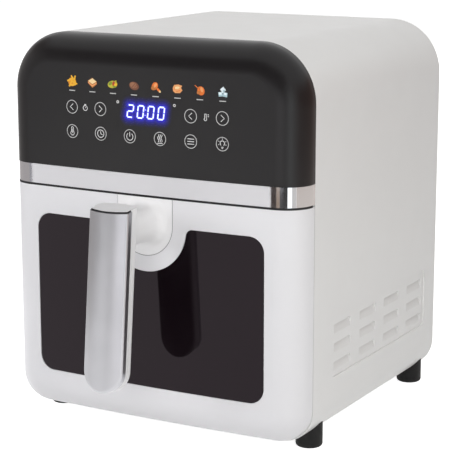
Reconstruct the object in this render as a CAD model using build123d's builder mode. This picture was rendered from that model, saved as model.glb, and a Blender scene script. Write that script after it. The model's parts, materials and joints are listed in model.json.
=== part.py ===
from build123d import *
import os
from math import cos, pi, radians, sin, sqrt

os.makedirs("parts", exist_ok=True)

# A drawer air fryer, in millimetres. X runs to the right seen from the front, Y to the back, Z up.
# The origin is on the floor, under the middle of the whole depth with the handle.

# Casing
body_width = 270.0
body_height = 326.0
body_depth = 280.0  # middle of the front face to the rear rim
floor_gap = 9.5  # floor to the underside of the casing
top_corner = 46.0
bottom_corner = 27.0
casing_wall = 2.5
rear_edge = 6.0
rear_rim = 16.0  # width of the rim round the rear opening
rear_screw_inset = 6.0  # rim's inner edge to a rear screw
rear_screw_low = 80.0
rear_screw_middle_drop = 13.0  # strip to the middle row of rear screws
rear_screw_high_drop = 64.0  # top of the casing to the upper row of rear screws
lug_depth = 12.0
lug_width = 24.0
lug_height = 16.0
base_rim = 37.0  # width of the casing's underside beside the base plate
base_corner = 8.0
base_setback = 14.0  # seam to the base opening
base_overlap = 9.0  # base plate beyond its opening at the sides
base_overlap_ends = 7.0
base_screw_inset = 5.0
base_screw_end = 34.0  # opening's end to a base screw

# Front block: control panel, strip and drawer front are cut from one bowed form
front_block_depth = 30.0
front_bow = 4.25  # how far the face falls back from its middle to its sides
front_edge = 23.0
front_lift = 2.0  # underside of the drawer front above that of the casing
strip_drop = 123.0  # top of the casing to the strip's lower edge
strip_height = 16.2
strip_sheet = 1.5
panel_wall = 2.5
drawer_wall = 3.0
reveal = 1.5  # dark gap between the strip and the drawer front

# Side vents
vent_front = 62.0  # from the middle of the front face
vent_ends = 90.0  # depth of the casing that the vent panel leaves free
vent_bottom = 56.0
vent_height = 51.0
vent_corner = 6.0
vent_sink = 1.0
vent_pad = 2.0
louvre_columns = 4
louvre_rows = 3
louvre_length = 31.0
louvre_height = 7.5
louvre_depth = 2.6
louvre_pitch_z = 15.5
louvre_first_y = 6.6  # vent panel's ends to the nearest louvres
louvre_drop = 8.0  # vent panel's top to the first louvre

# Feet
foot_diameter = 22.0
foot_edge = 2.5
foot_inset = 15.5  # casing side to the middle of a foot
foot_front = 55.0  # from the middle of the front face
foot_rear_inset = 22.0  # rear rim to the middle of a rear foot
foot_boss = 3.8
foot_boss_top = 38.0
foot_recess = 5.0
foot_recess_depth = 5.0
foot_screw_spare = 4.0  # end of a foot screw to the top of its boss

# Rear cover and base plate
cover_sheet_rear = 2.5
cooling_drop = 58.0  # top of the casing to the middle of the cooling slots
cooling_rows = 6
cooling_gap = 10.0  # between the two columns of cooling slots
slot_pitch = 9.0
slot_height = 4.0
slot_width = 72.0
exhaust_rows = 3
exhaust_margin = 5.0  # duct's side to the end of a grille slot
rear_rib = 6.0
rear_rib_sheet = 2.0
rear_rib_low = 50.0
rear_rib_clear = 18.0  # ribs to the exhaust duct
rear_rib_pitch = 60.0
base_sheet = 2.5
base_slot_gap = 12.0
base_slot_margin = 2.0  # base opening's side to the first column of slots
base_slot_columns = 3
base_slot_rows = 11
pedestal = 14.0
pedestal_corner = 3.0
pedestal_inset_x = 34.0  # chamber side to a pedestal
pedestal_inset_y = 22.0
base_boss = 4.5
base_boss_height = 5.0
base_screw_spare = 1.0

# Window and handle
window_side = 29.3  # casing side to the window
window_bottom = 45.6
window_drop = 23.7  # strip to the window's upper edge
window_corner = 13.0
window_sink = 0.6
window_lip = 4.0
window_flange = 2.0
notch_radius = 37.4
notch_drop = 24.0  # strip to the middle of the notch
notch_edge = 6.0
boss_drop = 23.0  # strip to the middle of the handle's boss
base_radius = 25.3
handle_width = 35.2
handle_low = 58.2  # floor to the grip's lower end
handle_tilt = 5.6
handle_drop = 3.6  # strip to the grip's top
handle_offset = 55.5  # middle of the front face to the crown of the grip at its top
grip_crown = 4.2
grip_side = 13.5
grip_back = 3.5
grip_edge = 2.6
grip_round = 3.0
cap_slope = 7.0  # top of the grip, rising to the rear
cap_spare = 8.0  # grip drawn beyond its sloped top
cover_sheet = 1.2
cover_skirt = 5.6
cover_drop = 1.2  # top of the grip to the cover's upper edge
neck_width = 30.0
neck_height = 28.0
neck_corner = 12.0
neck_flare = 7.0
neck_lift = 2.0  # middle of the neck above that of the boss
handle_screw_pitch = 16.0
handle_screw_depth = 16.0
seat_depth = 6.2
seat_rim = 5.0

# Drawer
pane_side = 23.0  # basket side to the inner pane
pane_bottom = 58.0
pane_head = 24.0  # inner pane to the basket's rim
pane_corner = 10.0
pane_thickness = 4.0
gasket_out = 5.0  # gasket beyond the pane's edge
gasket_in = 5.0  # gasket over the pane's edge
drawer_back_wall = 2.5
back_post = 4.0
back_screw_side = 18.0  # casing side to a drawer screw
back_screw_low = 56.0
back_screw_drop = 43.0  # strip to the upper drawer screws
back_screw_depth = 14.0
basket_post = 4.5
basket_screw_x = 60.0
basket_screw_low = 47.5
basket_screw_drop = 10.0  # basket's rim to its upper screws
basket_side = 9.0  # chamber side to the basket
basket_back = 16.0  # chamber depth that the basket leaves free
basket_floor = 30.0  # floor to the underside of the basket
basket_head = 18.0  # basket's rim to the chamber's top
basket_wall = 1.5
basket_corner = 16.0
basket_round = 12.0
basket_setback = 6.0  # seam to the basket's front wall
rim_width = 7.0

# Crisper tray
tray_margin = 5.0  # tray edge to the basket's inside
tray_lift = 16.0  # tray plate above the basket's inside floor
tray_sheet = 1.5
tray_skirt = 8.0
tray_slot_length = 16.0
tray_slot_width = 6.5
tray_slots_x = 7
tray_slots_y = 11
bumper_length = 18.0
bumper_width = 4.6
bumper_height = 9.0
bumper_spread = 120.0
tray_gap = 0.4  # legs to the basket's floor
leg_radius = 4.0
leg_inset = 20.0
tray_side = 23.5  # tray side to the middle of the nearest slots
tray_end = 17.5  # tray end to the middle of the nearest slots

# Cooking chamber
sheet = 1.2
frame_thickness = 3.0
chamber_side = 21.0  # casing side to the chamber
chamber_back = 33.0  # chamber to the rear rim
chamber_floor = 22.0
chamber_drop = 7.0  # strip to the chamber's top
chamber_corner = 12.0
chamber_flange = 8.0
chamber_lip = 2.5
rail_width = 5.0
rail_drop = 9.0
rail_clear = 0.4
rail_setback = 6.0  # front frame to a rail's front end
rail_spare = 4.0  # rail's rear end to the rounding of the chamber's back
opening_margin = 1.5  # basket rim to the front frame's opening
opening_sill = 4.0  # chamber floor to the opening's lower edge
opening_head = 8.0  # basket rim to the opening's upper edge

# Heater and fans
guard_lap = 10.0  # guard over the edge of the air opening
guard_margin = 2.0  # guard inside the dome
guard_slots = 24
guard_slot = 5.0
slot_inner = 26.0
slot_margin = 2.0  # air opening's edge to the guard's slots
guard_screws_count = 4
guard_screw_spare = 5.0
dome_margin = 2.0  # chamber side to the dome's flange
dome_height = 43.0
dome_flange = 7.0
dome_draft = 1.0  # how far the dome narrows to its bevel
dome_round = 6.0
tube_radius = 3.2
coil_margin = 22.0  # dome to the outer ring of the tube
coil_pitch = 18.0  # between the two rings
coil_rise = 15.0  # chamber top to the middle of the tube
coil_gap = 22.0  # half of the angle left open, in degrees
coil_bend = 10.0
coil_exit = 18.0
coil_ends = 12.0  # ends of the tube above the dome
riser_clear = 1.0
fan_margin = 28.0  # dome to the hot-air fan
fan_rise = 34.0  # chamber top to the fan's disc
fan_blades = 8
blade_height = 11.0
blade_length = 32.0
blade_lean = 18.0
blade_sheet = 1.2
blade_inset = 2.0  # disc's edge to the blades
hub_radius = 9.0
nut_radius = 6.0
nut_height = 4.0
cooler_radius = 42.0
cooler_blades = 6
cooler_rise = 99.0  # chamber top to the cooling fan's disc
cooler_height = 9.0
cooler_length = 24.0
cooler_sheet = 1.5
cooler_inset = 1.0
shaft_radius = 3.0
shaft_low = 16.0  # chamber top to the shaft's lower end
shaft_length = 100.0
shaft_bevel = 0.5

# Motor
spacer_height = 8.0
spacer_radius = 5.0
plate_sheet = 2.0
plate_margin = 9.0
plate_spacing_x = 84.0
plate_spacing_y = 52.0
plate_clear = 3.0  # plate's hole round the lower bearing
stack_width = 66.0
stack_depth = 58.0
stack_height = 20.0
stack_rise = 68.0  # chamber top to the underside of the stack
stack_corner = 3.0
stack_offset = 8.0  # shaft to the middle of the stack
coil_leg = 14.0  # stack leg that carries the coil
coil_window = 15.0
coil_flank = 11.0  # stack's side to the coil's window
coil_wrap = 6.0
coil_end_gap = 1.0
rotor_radius = 14.0
rotor_gap = 0.5
bracket_width = 16.0
bush_radius = 6.0
bush_height = 8.0
bracket_reach = 9.0
bracket_post = 8.0
bracket_post_inset = 7.0
bush_wall = 2.0

# Boards and small pieces
board_sheet = 1.6
board_width = 164.0
board_height = 60.0
board_drop = 58.0  # top of the casing to the middle of the control board
board_setback = 15.0  # middle of the front face to the control board
board_corner = 3.0
board_hole_corner = 10.0
board_screw_inset = 6.0
board_screw_pitch = 50.0
board_screw_depth = 8.0
panel_boss = 4.5
panel_screw_side = 31.0  # casing side to a panel screw
panel_screw_rise = 31.0  # strip to the lower panel screws
panel_screw_drop = 36.0  # top of the casing to the upper panel screws
panel_screw_depth = 14.0
chip_size = 16.0
chip_x = -30.0
plug_length = 24.0
plug_width = 8.0
plug_x = 30.0
plug_drop = 16.0
buzzer_radius = 6.0
buzzer_x = 10.0
buzzer_rise = 14.0
board_parts_height = 5.0
display_middle_x = 1.8
display_rise = 1.0  # middle of the control board to that of the display
display_width = 44.0
display_height = 16.0
display_corner = 1.5
display_gap = 2.0  # display to the panel's inside
key_pitch = 27.6
key_row_drop = 19.0  # middle of the control board to the lower row of keys
key_row_rise = 0.7
key_column = 69.1
pad_radius = 4.0
power_length = 120.0
power_head = 106.0  # power board to the top of the casing
power_low = 124.0
power_stand = 6.0  # board to the casing wall
power_shift = 10.0  # board's middle ahead of the shaft
power_screw_inset = 6.0
power_post = 3.0
relay_length = 28.0
relay_height = 20.0
relay_forward = 36.0
relay_rise = 0.23  # share of the power board's height
transformer_length = 30.0
transformer_height = 26.0
transformer_back = 30.0
transformer_rise = 0.21  # share of the power board's height
capacitor_radius = 7.0
capacitor_drop = 0.23  # share of the power board's height
power_parts_height = 7.0
sensor_side = 22.0  # chamber side to the probe
sensor_inset = 24.0  # chamber's back to the probe
sensor_radius = 3.0
probe_length = 18.0
probe_flange = 7.0
probe_collar = 2.0
cutout_x = -62.0
cutout_radius = 8.0
cutout_height = 7.0
cutout_foot_length = 25.6
cutout_foot_width = 9.6
tab_spread = 8.0
tab_sheet = 0.8
tab_width = 6.0
tab_height = 8.0
switch_x = -60.0
switch_pin = 1.2
switch_width = 20.0
switch_height = 16.0
switch_depth = 8.0
pin_travel = 0.4  # pin's tip to the drawer front's edge
lamp_side = 26.0  # chamber side to the lamp
lamp_inset = 6.0  # chamber's front to the lamp
lamp_radius = 10.0
lens_sheet = 3.0
lens_lip = 1.5
lamp_can = 34.0
lamp_cap = 6.0
lamp_bevel = 4.0
bulb_radius = 4.5
bulb_length = 20.0
duct_width = 84.0
duct_height = 34.0
duct_drop = 48.0  # chamber's top to the exhaust duct's floor
gland_side = 51.0  # casing side to the cord gland
gland_z = 46.0
gland_radius = 9.0
gland_rim = 2.5
gland_flange = 2.2
gland_length = 14.0
cord_radius = 3.6

# Fasteners
screw_radius = 2.0
screw_head = 3.8
head_height = 2.2
screw_head_sides = 12
screw_sides = 6
post_sides = 8

# Clearances
fit_gap = 0.2  # between pieces that are fixed together
drawer_gap = 0.8  # between the drawer front and the casing
bore_gap = 0.1  # between a shaft or a screw and its hole

# Derived places
strip_bottom = body_height - strip_drop
strip_top = strip_bottom + strip_height
drawer_top = strip_bottom - reveal
handle_top = strip_bottom - handle_drop
handle_length = handle_top - handle_low
tilt = radians(handle_tilt)
cap_angle = radians(cap_slope)
handle_reach = handle_offset + (handle_length - grip_edge) * sin(tilt) + grip_edge * (1 - cos(tilt))
front_y = handle_reach - (body_depth + handle_reach) / 2
rear_y = front_y + body_depth
seam_y = front_y + front_block_depth
half_width = body_width / 2
bow_radius = (half_width**2 + front_bow**2) / (2 * front_bow)
front_bottom = floor_gap + front_lift
drawer_rear = seam_y - drawer_gap
strip_seat = strip_sheet + fit_gap
frame_rear = seam_y + frame_thickness
chamber_width = body_width - 2 * chamber_side
chamber_rear = rear_y - chamber_back
chamber_depth = chamber_rear - frame_rear
chamber_top = strip_bottom - chamber_drop
chamber_height = chamber_top - chamber_floor
axis_y = (frame_rear + chamber_rear) / 2
basket_width = chamber_width - 2 * basket_side
basket_depth = chamber_depth - basket_back
basket_front = seam_y + basket_setback
basket_top = chamber_top - basket_head
basket_height = basket_top - basket_floor
rim_half = basket_width / 2 + rim_width
opening_half = rim_half + opening_margin
pane_width = basket_width - 2 * pane_side
pane_height = basket_top - pane_head - pane_bottom
window_width = body_width - 2 * window_side
window_top = strip_bottom - window_drop
boss_height = strip_bottom - boss_drop
notch_height = strip_bottom - notch_drop
dome_top = chamber_top + dome_height
dome_radius = min(chamber_width, chamber_depth) / 2 - dome_flange - dome_margin
dome_shoulder = dome_radius - dome_draft
guard_radius = dome_radius - guard_margin
air_opening = guard_radius - guard_lap
slot_outer = air_opening - slot_margin
coil_outer = dome_radius - coil_margin
coil_inner = coil_outer - coil_pitch
fan_radius = dome_radius - fan_margin
board_middle = body_height - board_drop
duct_low = chamber_top - duct_drop
cover_front = rear_y - casing_wall - fit_gap
cover_back = cover_front - cover_sheet_rear
screw_hole = screw_radius + bore_gap
seam_tolerance = 0.5  # for picking edges at a known place


def bow_setback(x):
    return bow_radius - sqrt(bow_radius**2 - x**2)


def outline_face(plane, bottom, inset):
    with BuildSketch(plane) as outline:
        with Locations((0, (bottom + body_height) / 2)):
            Rectangle(body_width - 2 * inset, body_height - bottom - 2 * inset)
        fillet(outline.vertices().sort_by(Axis.Y)[:2], bottom_corner - inset)
        fillet(outline.vertices().sort_by(Axis.Y)[-2:], top_corner - inset)
    return outline.sketch


def casing_form(inset, front, rear):
    outline = outline_face(Plane.XZ.offset(-front), floor_gap, inset)
    with BuildPart() as form:
        extrude(outline, amount=front - rear)
    return form.part


def front_form(inset):
    outline = outline_face(Plane.XZ.offset(-seam_y), front_bottom, inset)
    with BuildPart() as form:
        extrude(outline, amount=front_block_depth + front_bow)
        with Locations((0, front_y + bow_radius, body_height / 2)):
            Cylinder(bow_radius - inset, 2 * body_height, mode=Mode.INTERSECT)
        fillet(form.faces().sort_by(Axis.Y)[0].edges(), front_edge - inset)
    return form.part


def front_band(inset, low, high, rear):
    form = front_form(inset)
    with BuildPart() as band:
        add(form)
        split(bisect_by=Plane.XY.offset(low), keep=Keep.TOP)
        if high < body_height:
            split(bisect_by=Plane.XY.offset(high), keep=Keep.BOTTOM)
        if rear < seam_y:
            split(bisect_by=Plane.XZ.offset(-rear), keep=Keep.TOP)
    return band.part


def bow_sheet(near, far):
    with BuildPart() as layer:
        with BuildSketch() as plan:
            with Locations((0, front_y + bow_radius)):
                Circle(bow_radius - near)
                Circle(bow_radius - far, mode=Mode.SUBTRACT)
            with Locations((0, front_y)):
                Rectangle(body_width, 2 * front_block_depth, mode=Mode.INTERSECT)
        extrude(amount=body_height)
    return layer.part


def bowed_plate(outline, near, far):
    layer = bow_sheet(near, far)
    with BuildPart() as plate:
        extrude(outline, amount=body_depth, both=True)
        add(layer, mode=Mode.INTERSECT)
    return plate.part


def window_outline(grow):
    with BuildSketch(Plane.XZ) as outline:
        with Locations((0, (window_bottom + window_top) / 2)):
            Rectangle(window_width + 2 * grow, window_top - window_bottom + 2 * grow)
        fillet(outline.vertices(), window_corner + grow)
        with Locations((0, notch_height)):
            Circle(notch_radius - grow, mode=Mode.SUBTRACT)
        fillet(outline.vertices().sort_by_distance((0, notch_height))[:2], notch_edge + grow)
    return outline.sketch


def base_outline(grow, top):
    with BuildSketch(Plane.XZ) as outline:
        with Locations((0, boss_height)):
            Circle(base_radius + grow)
        with Locations((0, (boss_height + top) / 2)):
            Rectangle(2 * (base_radius + grow), top - boss_height)
        with Locations((0, top)):
            Rectangle(
                body_width,
                2 * (body_height - top),
                align=(Align.CENTER, Align.MIN),
                mode=Mode.SUBTRACT,
            )
    return outline.sketch


def screw(seat, length):
    with BuildPart() as fastener:
        with BuildSketch(seat):
            RegularPolygon(screw_head, screw_head_sides)
        extrude(amount=head_height)
        with BuildSketch(seat):
            RegularPolygon(screw_radius, screw_sides)
        extrude(amount=-length)
    return fastener.part


def post(seat, radius, bore, height):
    with BuildPart() as column:
        with BuildSketch(seat):
            RegularPolygon(radius, post_sides)
            RegularPolygon(bore, screw_sides, major_radius=False, mode=Mode.SUBTRACT)
        extrude(amount=height)
    return column.part


def front_plane(x, z, y):
    return Plane(origin=(x, y, z), x_dir=(1, 0, 0), z_dir=(0, -1, 0))


def rear_plane(x, z, y):
    return Plane(origin=(x, y, z), x_dir=(-1, 0, 0), z_dir=(0, 1, 0))


def under_plane(x, y, z):
    return Plane(origin=(x, y, z), x_dir=(1, 0, 0), z_dir=(0, 0, -1))


def save(piece, name):
    piece.part.label = name
    export_step(piece.part, f"parts/{name}.step")


# Outer casing: a wrap of top, sides and turned-under bottom edges, open at the front
rear_screw_x = half_width - rear_rim - rear_screw_inset
rear_screw_middle = strip_bottom - rear_screw_middle_drop
rear_screw_high = body_height - rear_screw_high_drop
rear_screw_heights = (rear_screw_low, rear_screw_middle, rear_screw_high)
rear_screw_places = [(side * rear_screw_x, z) for side in (-1, 1) for z in rear_screw_heights]
foot_x = half_width - foot_inset
foot_rear = body_depth - foot_rear_inset
foot_places = {
    "foot_front_left": (-foot_x, front_y + foot_front),
    "foot_front_right": (foot_x, front_y + foot_front),
    "foot_rear_left": (-foot_x, front_y + foot_rear),
    "foot_rear_right": (foot_x, front_y + foot_rear),
}
base_half = half_width - base_rim
base_front = seam_y + base_setback
base_rear = rear_y - rear_rim
base_screw_x = base_half + base_screw_inset
base_screw_rows = (base_front + base_screw_end, base_rear - base_screw_end)
base_screw_places = [(side * base_screw_x, y) for side in (-1, 1) for y in base_screw_rows]
casing_solid = casing_form(0.0, seam_y, rear_y)
casing_inside = casing_form(casing_wall, seam_y, rear_y - casing_wall)
rear_hole = outline_face(Plane.XZ.offset(-rear_y), floor_gap, rear_rim)
with BuildPart() as foot_bosses:
    with BuildSketch():
        with Locations(*foot_places.values()):
            Circle(foot_boss)
    extrude(amount=foot_boss_top)
    add(casing_solid, mode=Mode.INTERSECT)
vent_length = body_depth - vent_ends
louvre_pitch_y = (vent_length - louvre_length - 2 * louvre_first_y) / (louvre_columns - 1)
vent_middle_y = front_y + vent_front + vent_length / 2
vent_middle_z = vent_bottom + vent_height / 2
vent_face = half_width - vent_sink
with BuildPart() as outer_casing:
    add(casing_solid)
    fillet(outer_casing.faces().sort_by(Axis.Y)[-1].edges(), rear_edge)
    add(casing_inside, mode=Mode.SUBTRACT)
    extrude(rear_hole, amount=2 * casing_wall, mode=Mode.SUBTRACT)
    with BuildSketch(Plane.XY.offset(floor_gap)):
        with Locations((0, (base_front + base_rear) / 2)):
            RectangleRounded(2 * base_half, base_rear - base_front, base_corner)
    extrude(amount=2 * casing_wall, mode=Mode.SUBTRACT)
    # bosses for the feet rise from the inside of the bottom corners
    add(foot_bosses.part)
    # lugs carry the rear cover's screws
    with BuildSketch(Plane.XZ.offset(-cover_back)):
        for x, z in rear_screw_places:
            side = 1 if x > 0 else -1
            with Locations((side * (half_width - casing_wall), z)):
                lug_align = (Align.MAX if side > 0 else Align.MIN, Align.CENTER)
                Rectangle(lug_width, lug_height, align=lug_align)
    extrude(amount=lug_depth)
    # pads back the sunk vent panels
    for side in (-1, 1):
        with BuildSketch(Plane.YZ.offset(side * (half_width - casing_wall))):
            with Locations((vent_middle_y, vent_middle_z)):
                RectangleRounded(
                    vent_length + 2 * vent_corner, vent_height + 2 * vent_corner, vent_corner
                )
        extrude(amount=-side * vent_pad)
        with BuildSketch(Plane.YZ.offset(side * half_width)):
            with Locations((vent_middle_y, vent_middle_z)):
                RectangleRounded(vent_length, vent_height, vent_corner)
        extrude(amount=-side * vent_sink, mode=Mode.SUBTRACT)
        # each louvre is a ramp, deepest under its upper edge
        for column in range(louvre_columns):
            louvre_y = front_y + vent_front + louvre_first_y + column * louvre_pitch_y
            with BuildSketch(Plane.XZ.offset(-louvre_y)):
                for row in range(louvre_rows):
                    louvre_top = vent_bottom + vent_height - louvre_drop - row * louvre_pitch_z
                    with BuildLine():
                        Polyline(
                            (side * vent_face, louvre_top),
                            (side * (vent_face - louvre_depth), louvre_top),
                            (side * vent_face, louvre_top - louvre_height),
                            close=True,
                        )
                    make_face()
            extrude(amount=-louvre_length, mode=Mode.SUBTRACT)
    with BuildSketch(Plane.XY):
        with Locations(*foot_places.values()):
            Circle(screw_hole)
        with Locations(*base_screw_places):
            Circle(screw_hole)
    extrude(amount=foot_boss_top, mode=Mode.SUBTRACT)
    with BuildSketch(Plane.XZ.offset(-cover_back)):
        with Locations(*rear_screw_places):
            Circle(screw_hole)
    extrude(amount=lug_depth, mode=Mode.SUBTRACT)
save(outer_casing, "outer_casing")

# Rear cover with the exhaust grille and the cooling slots
gland_x = gland_side - half_width
cover_outline = outline_face(Plane.XZ.offset(-cover_front), floor_gap, casing_wall + fit_gap)
cooling_middle = body_height - cooling_drop
rear_rib_length = duct_low - rear_rib_clear - rear_rib_low
rear_rib_middle = rear_rib_low + rear_rib_length / 2
with BuildPart() as rear_cover:
    extrude(cover_outline, amount=cover_sheet_rear)
    with BuildSketch(Plane.XZ.offset(-cover_front)):
        with Locations((0, cooling_middle)):
            with GridLocations(slot_width + cooling_gap, slot_pitch, 2, cooling_rows):
                Rectangle(slot_width, slot_height)
        with Locations((0, duct_low + duct_height / 2)):
            with GridLocations(0, slot_pitch, 1, exhaust_rows):
                Rectangle(duct_width - 2 * exhaust_margin, slot_height)
        with Locations((gland_x, gland_z)):
            Circle(gland_radius + bore_gap)
        with Locations(*rear_screw_places):
            Circle(screw_hole)
    extrude(amount=cover_sheet_rear, mode=Mode.SUBTRACT)
    # stiffening ribs on the inside
    with BuildSketch(Plane.XZ.offset(-cover_back)):
        with Locations((0, rear_rib_middle)):
            with GridLocations(rear_rib_pitch, 0, 3, 1):
                Rectangle(rear_rib_sheet, rear_rib_length)
    extrude(amount=rear_rib)
save(rear_cover, "rear_cover")

rear_screw_parts = [screw(rear_plane(x, z, cover_front), lug_depth) for x, z in rear_screw_places]
with BuildPart() as rear_screws:
    add(rear_screw_parts)
save(rear_screws, "rear_screws")

# Base plate with air slots and four pedestals under the chamber
base_low = floor_gap + casing_wall + fit_gap
base_top = base_low + base_sheet
chamber_under = chamber_floor - sheet
base_length = base_rear - base_front + 2 * base_overlap_ends
base_slot_pitch = 2 * (base_half - base_slot_margin) / base_slot_columns
base_slot = base_slot_pitch - base_slot_gap
pedestal_pitch_x = chamber_width - 2 * pedestal_inset_x
pedestal_pitch_y = chamber_depth - 2 * pedestal_inset_y
with BuildPart() as base_plate:
    with BuildSketch(Plane.XY.offset(base_low)):
        with Locations((0, (base_front + base_rear) / 2)):
            RectangleRounded(2 * (base_half + base_overlap), base_length, base_corner)
            with GridLocations(base_slot_pitch, slot_pitch, base_slot_columns, base_slot_rows):
                Rectangle(base_slot, slot_height, mode=Mode.SUBTRACT)
    extrude(amount=base_sheet)
    with BuildSketch(Plane.XY.offset(base_top)):
        with Locations((0, axis_y)):
            with GridLocations(pedestal_pitch_x, pedestal_pitch_y, 2, 2):
                RectangleRounded(pedestal, pedestal, pedestal_corner)
    extrude(amount=chamber_under - base_top)
    with BuildSketch(Plane.XY.offset(base_top)):
        with Locations(*base_screw_places):
            Circle(base_boss)
    extrude(amount=base_boss_height)
    with BuildSketch(Plane.XY.offset(base_low)):
        with Locations(*base_screw_places):
            Circle(screw_hole)
    extrude(amount=base_sheet + base_boss_height, mode=Mode.SUBTRACT)
save(base_plate, "base_plate")

base_screw_length = casing_wall + base_sheet + base_boss_height - base_screw_spare
base_screw_parts = [screw(under_plane(x, y, floor_gap), base_screw_length) for x, y in base_screw_places]
with BuildPart() as base_screws:
    add(base_screw_parts)
save(base_screws, "base_screws")

# Feet: rubber cups whose tops follow the casing's bottom corners
foot_stop = casing_form(-bore_gap, seam_y, rear_y)
for foot_name, foot_place in foot_places.items():
    with BuildPart() as foot:
        with BuildSketch():
            with Locations(foot_place):
                Circle(foot_diameter / 2)
        extrude(amount=foot_boss_top)
        fillet(foot.faces().sort_by(Axis.Z)[0].edges(), foot_edge)
        add(foot_stop, mode=Mode.SUBTRACT)
        with BuildSketch():
            with Locations(foot_place):
                Circle(foot_recess)
        extrude(amount=foot_recess_depth, mode=Mode.SUBTRACT)
        with BuildSketch():
            with Locations(foot_place):
                Circle(screw_hole)
        extrude(amount=foot_boss_top, mode=Mode.SUBTRACT)
    save(foot, foot_name)

foot_screw_length = foot_boss_top - foot_recess_depth - foot_screw_spare
foot_screw_planes = [under_plane(x, y, foot_recess_depth) for x, y in foot_places.values()]
foot_screw_parts = [screw(seat, foot_screw_length) for seat in foot_screw_planes]
with BuildPart() as foot_screws:
    add(foot_screw_parts)
save(foot_screws, "foot_screws")

# Front frame behind the control panel and round the drawer opening
opening_low = chamber_floor + opening_sill
opening_high = basket_top + opening_head
panel_screw_x = half_width - panel_screw_side
panel_screw_rows = (strip_bottom + panel_screw_rise, body_height - panel_screw_drop)
panel_screw_places = [(side * panel_screw_x, z) for side in (-1, 1) for z in panel_screw_rows]
switch_z = drawer_top - drawer_wall / 2
frame_outline = outline_face(Plane.XZ.offset(-seam_y), floor_gap, casing_wall + fit_gap)
with BuildPart() as front_frame:
    extrude(frame_outline, amount=-frame_thickness)
    with BuildSketch(Plane.XZ.offset(-seam_y)):
        with Locations((0, (opening_low + opening_high) / 2)):
            RectangleRounded(2 * opening_half, opening_high - opening_low, chamber_corner)
        with Locations((0, board_middle)):
            RectangleRounded(board_width, board_height, board_hole_corner)
        with Locations(*panel_screw_places):
            Circle(screw_hole)
        with Locations((switch_x, switch_z)):
            Circle(switch_pin + fit_gap)
    extrude(amount=-frame_thickness, mode=Mode.SUBTRACT)
save(front_frame, "front_frame")

# Control panel: one shell with a sunk band that seats the strip
panel_bottom = strip_top + fit_gap
board_front = front_y + board_setback
board_boss_x = board_width / 2 - board_screw_inset
board_boss_rows = (board_middle - board_screw_pitch / 2, board_middle + board_screw_pitch / 2)
board_boss_places = [(side * board_boss_x, z) for side in (-1, 1) for z in board_boss_rows]
seat_bottom = strip_bottom + fit_gap
panel_skin = front_band(0.0, panel_bottom, body_height, seam_y)
panel_step = panel_bottom + panel_wall
panel_seat = front_band(strip_seat, seat_bottom, panel_step, seam_y)
panel_inside = front_band(panel_wall, panel_step, body_height, seam_y)
seat_inside = front_band(strip_seat + panel_wall, seat_bottom + panel_wall, panel_step, seam_y)
panel_boss_wall = front_y + bow_setback(panel_screw_x) + panel_wall / 2
board_boss_wall = front_y + bow_setback(board_width / 2) + panel_wall / 2
panel_boss_planes = [front_plane(x, z, seam_y) for x, z in panel_screw_places]
board_boss_planes = [front_plane(x, z, board_front) for x, z in board_boss_places]
panel_post_length = seam_y - panel_boss_wall
board_post_length = board_front - board_boss_wall
panel_posts = [post(seat, panel_boss, screw_hole, panel_post_length) for seat in panel_boss_planes]
board_posts = [post(seat, panel_boss, screw_hole, board_post_length) for seat in board_boss_planes]
with BuildPart() as control_panel:
    add(panel_skin)
    add(panel_seat)
    add(panel_inside, mode=Mode.SUBTRACT)
    add(seat_inside, mode=Mode.SUBTRACT)
    add(panel_posts)
    add(board_posts)
save(control_panel, "control_panel")

panel_screw_length = frame_thickness + panel_screw_depth
panel_screw_planes = [rear_plane(x, z, frame_rear) for x, z in panel_screw_places]
panel_screw_parts = [screw(seat, panel_screw_length) for seat in panel_screw_planes]
with BuildPart() as panel_screws:
    add(panel_screw_parts)
save(panel_screws, "panel_screws")

strip_skin = front_band(0.0, strip_bottom, strip_top, seam_y)
strip_inside = front_band(strip_sheet, strip_bottom, strip_top, seam_y)
with BuildPart() as trim_strip:
    add(strip_skin)
    add(strip_inside, mode=Mode.SUBTRACT)
save(trim_strip, "trim_strip")

# Control board, its display and the contact pads behind the touch keys
key_columns = [key_column - column * key_pitch for column in range(3)]
key_row_low = board_middle - key_row_drop
key_row_high = board_middle + key_row_rise
key_places = [(side * x, key_row_low) for side in (-1, 1) for x in key_columns]
key_places += [(side * x, key_row_high) for side in (-1, 1) for x in key_columns[:2]]
with BuildPart() as control_board:
    with BuildSketch(Plane.XZ.offset(-board_front)):
        with Locations((0, board_middle)):
            RectangleRounded(board_width, board_height, board_corner)
        with Locations(*board_boss_places):
            Circle(screw_hole, mode=Mode.SUBTRACT)
    extrude(amount=-board_sheet)
    # driver chip, connector and buzzer on the rear side
    with BuildSketch(Plane.XZ.offset(-board_front - board_sheet)):
        with Locations((chip_x, board_middle)):
            Rectangle(chip_size, chip_size)
        with Locations((plug_x, board_middle - plug_drop)):
            Rectangle(plug_length, plug_width)
        with Locations((buzzer_x, board_middle + buzzer_rise)):
            RegularPolygon(buzzer_radius, post_sides)
    extrude(amount=-board_parts_height)
save(control_board, "control_board")

display_depth = board_setback - panel_wall - display_gap
with BuildPart() as display_module:
    with BuildSketch(Plane.XZ.offset(-board_front)):
        with Locations((display_middle_x, board_middle + display_rise)):
            RectangleRounded(display_width, display_height, display_corner)
    extrude(amount=display_depth)
save(display_module, "display_module")

pad_stop = bow_sheet(-front_bow, panel_wall + fit_gap)
with BuildPart() as touch_pads:
    with BuildSketch(Plane.XZ.offset(-board_front)):
        with Locations(*key_places):
            RegularPolygon(pad_radius, post_sides)
    extrude(amount=board_setback)
    add(pad_stop, mode=Mode.SUBTRACT)
save(touch_pads, "touch_pads")

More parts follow.
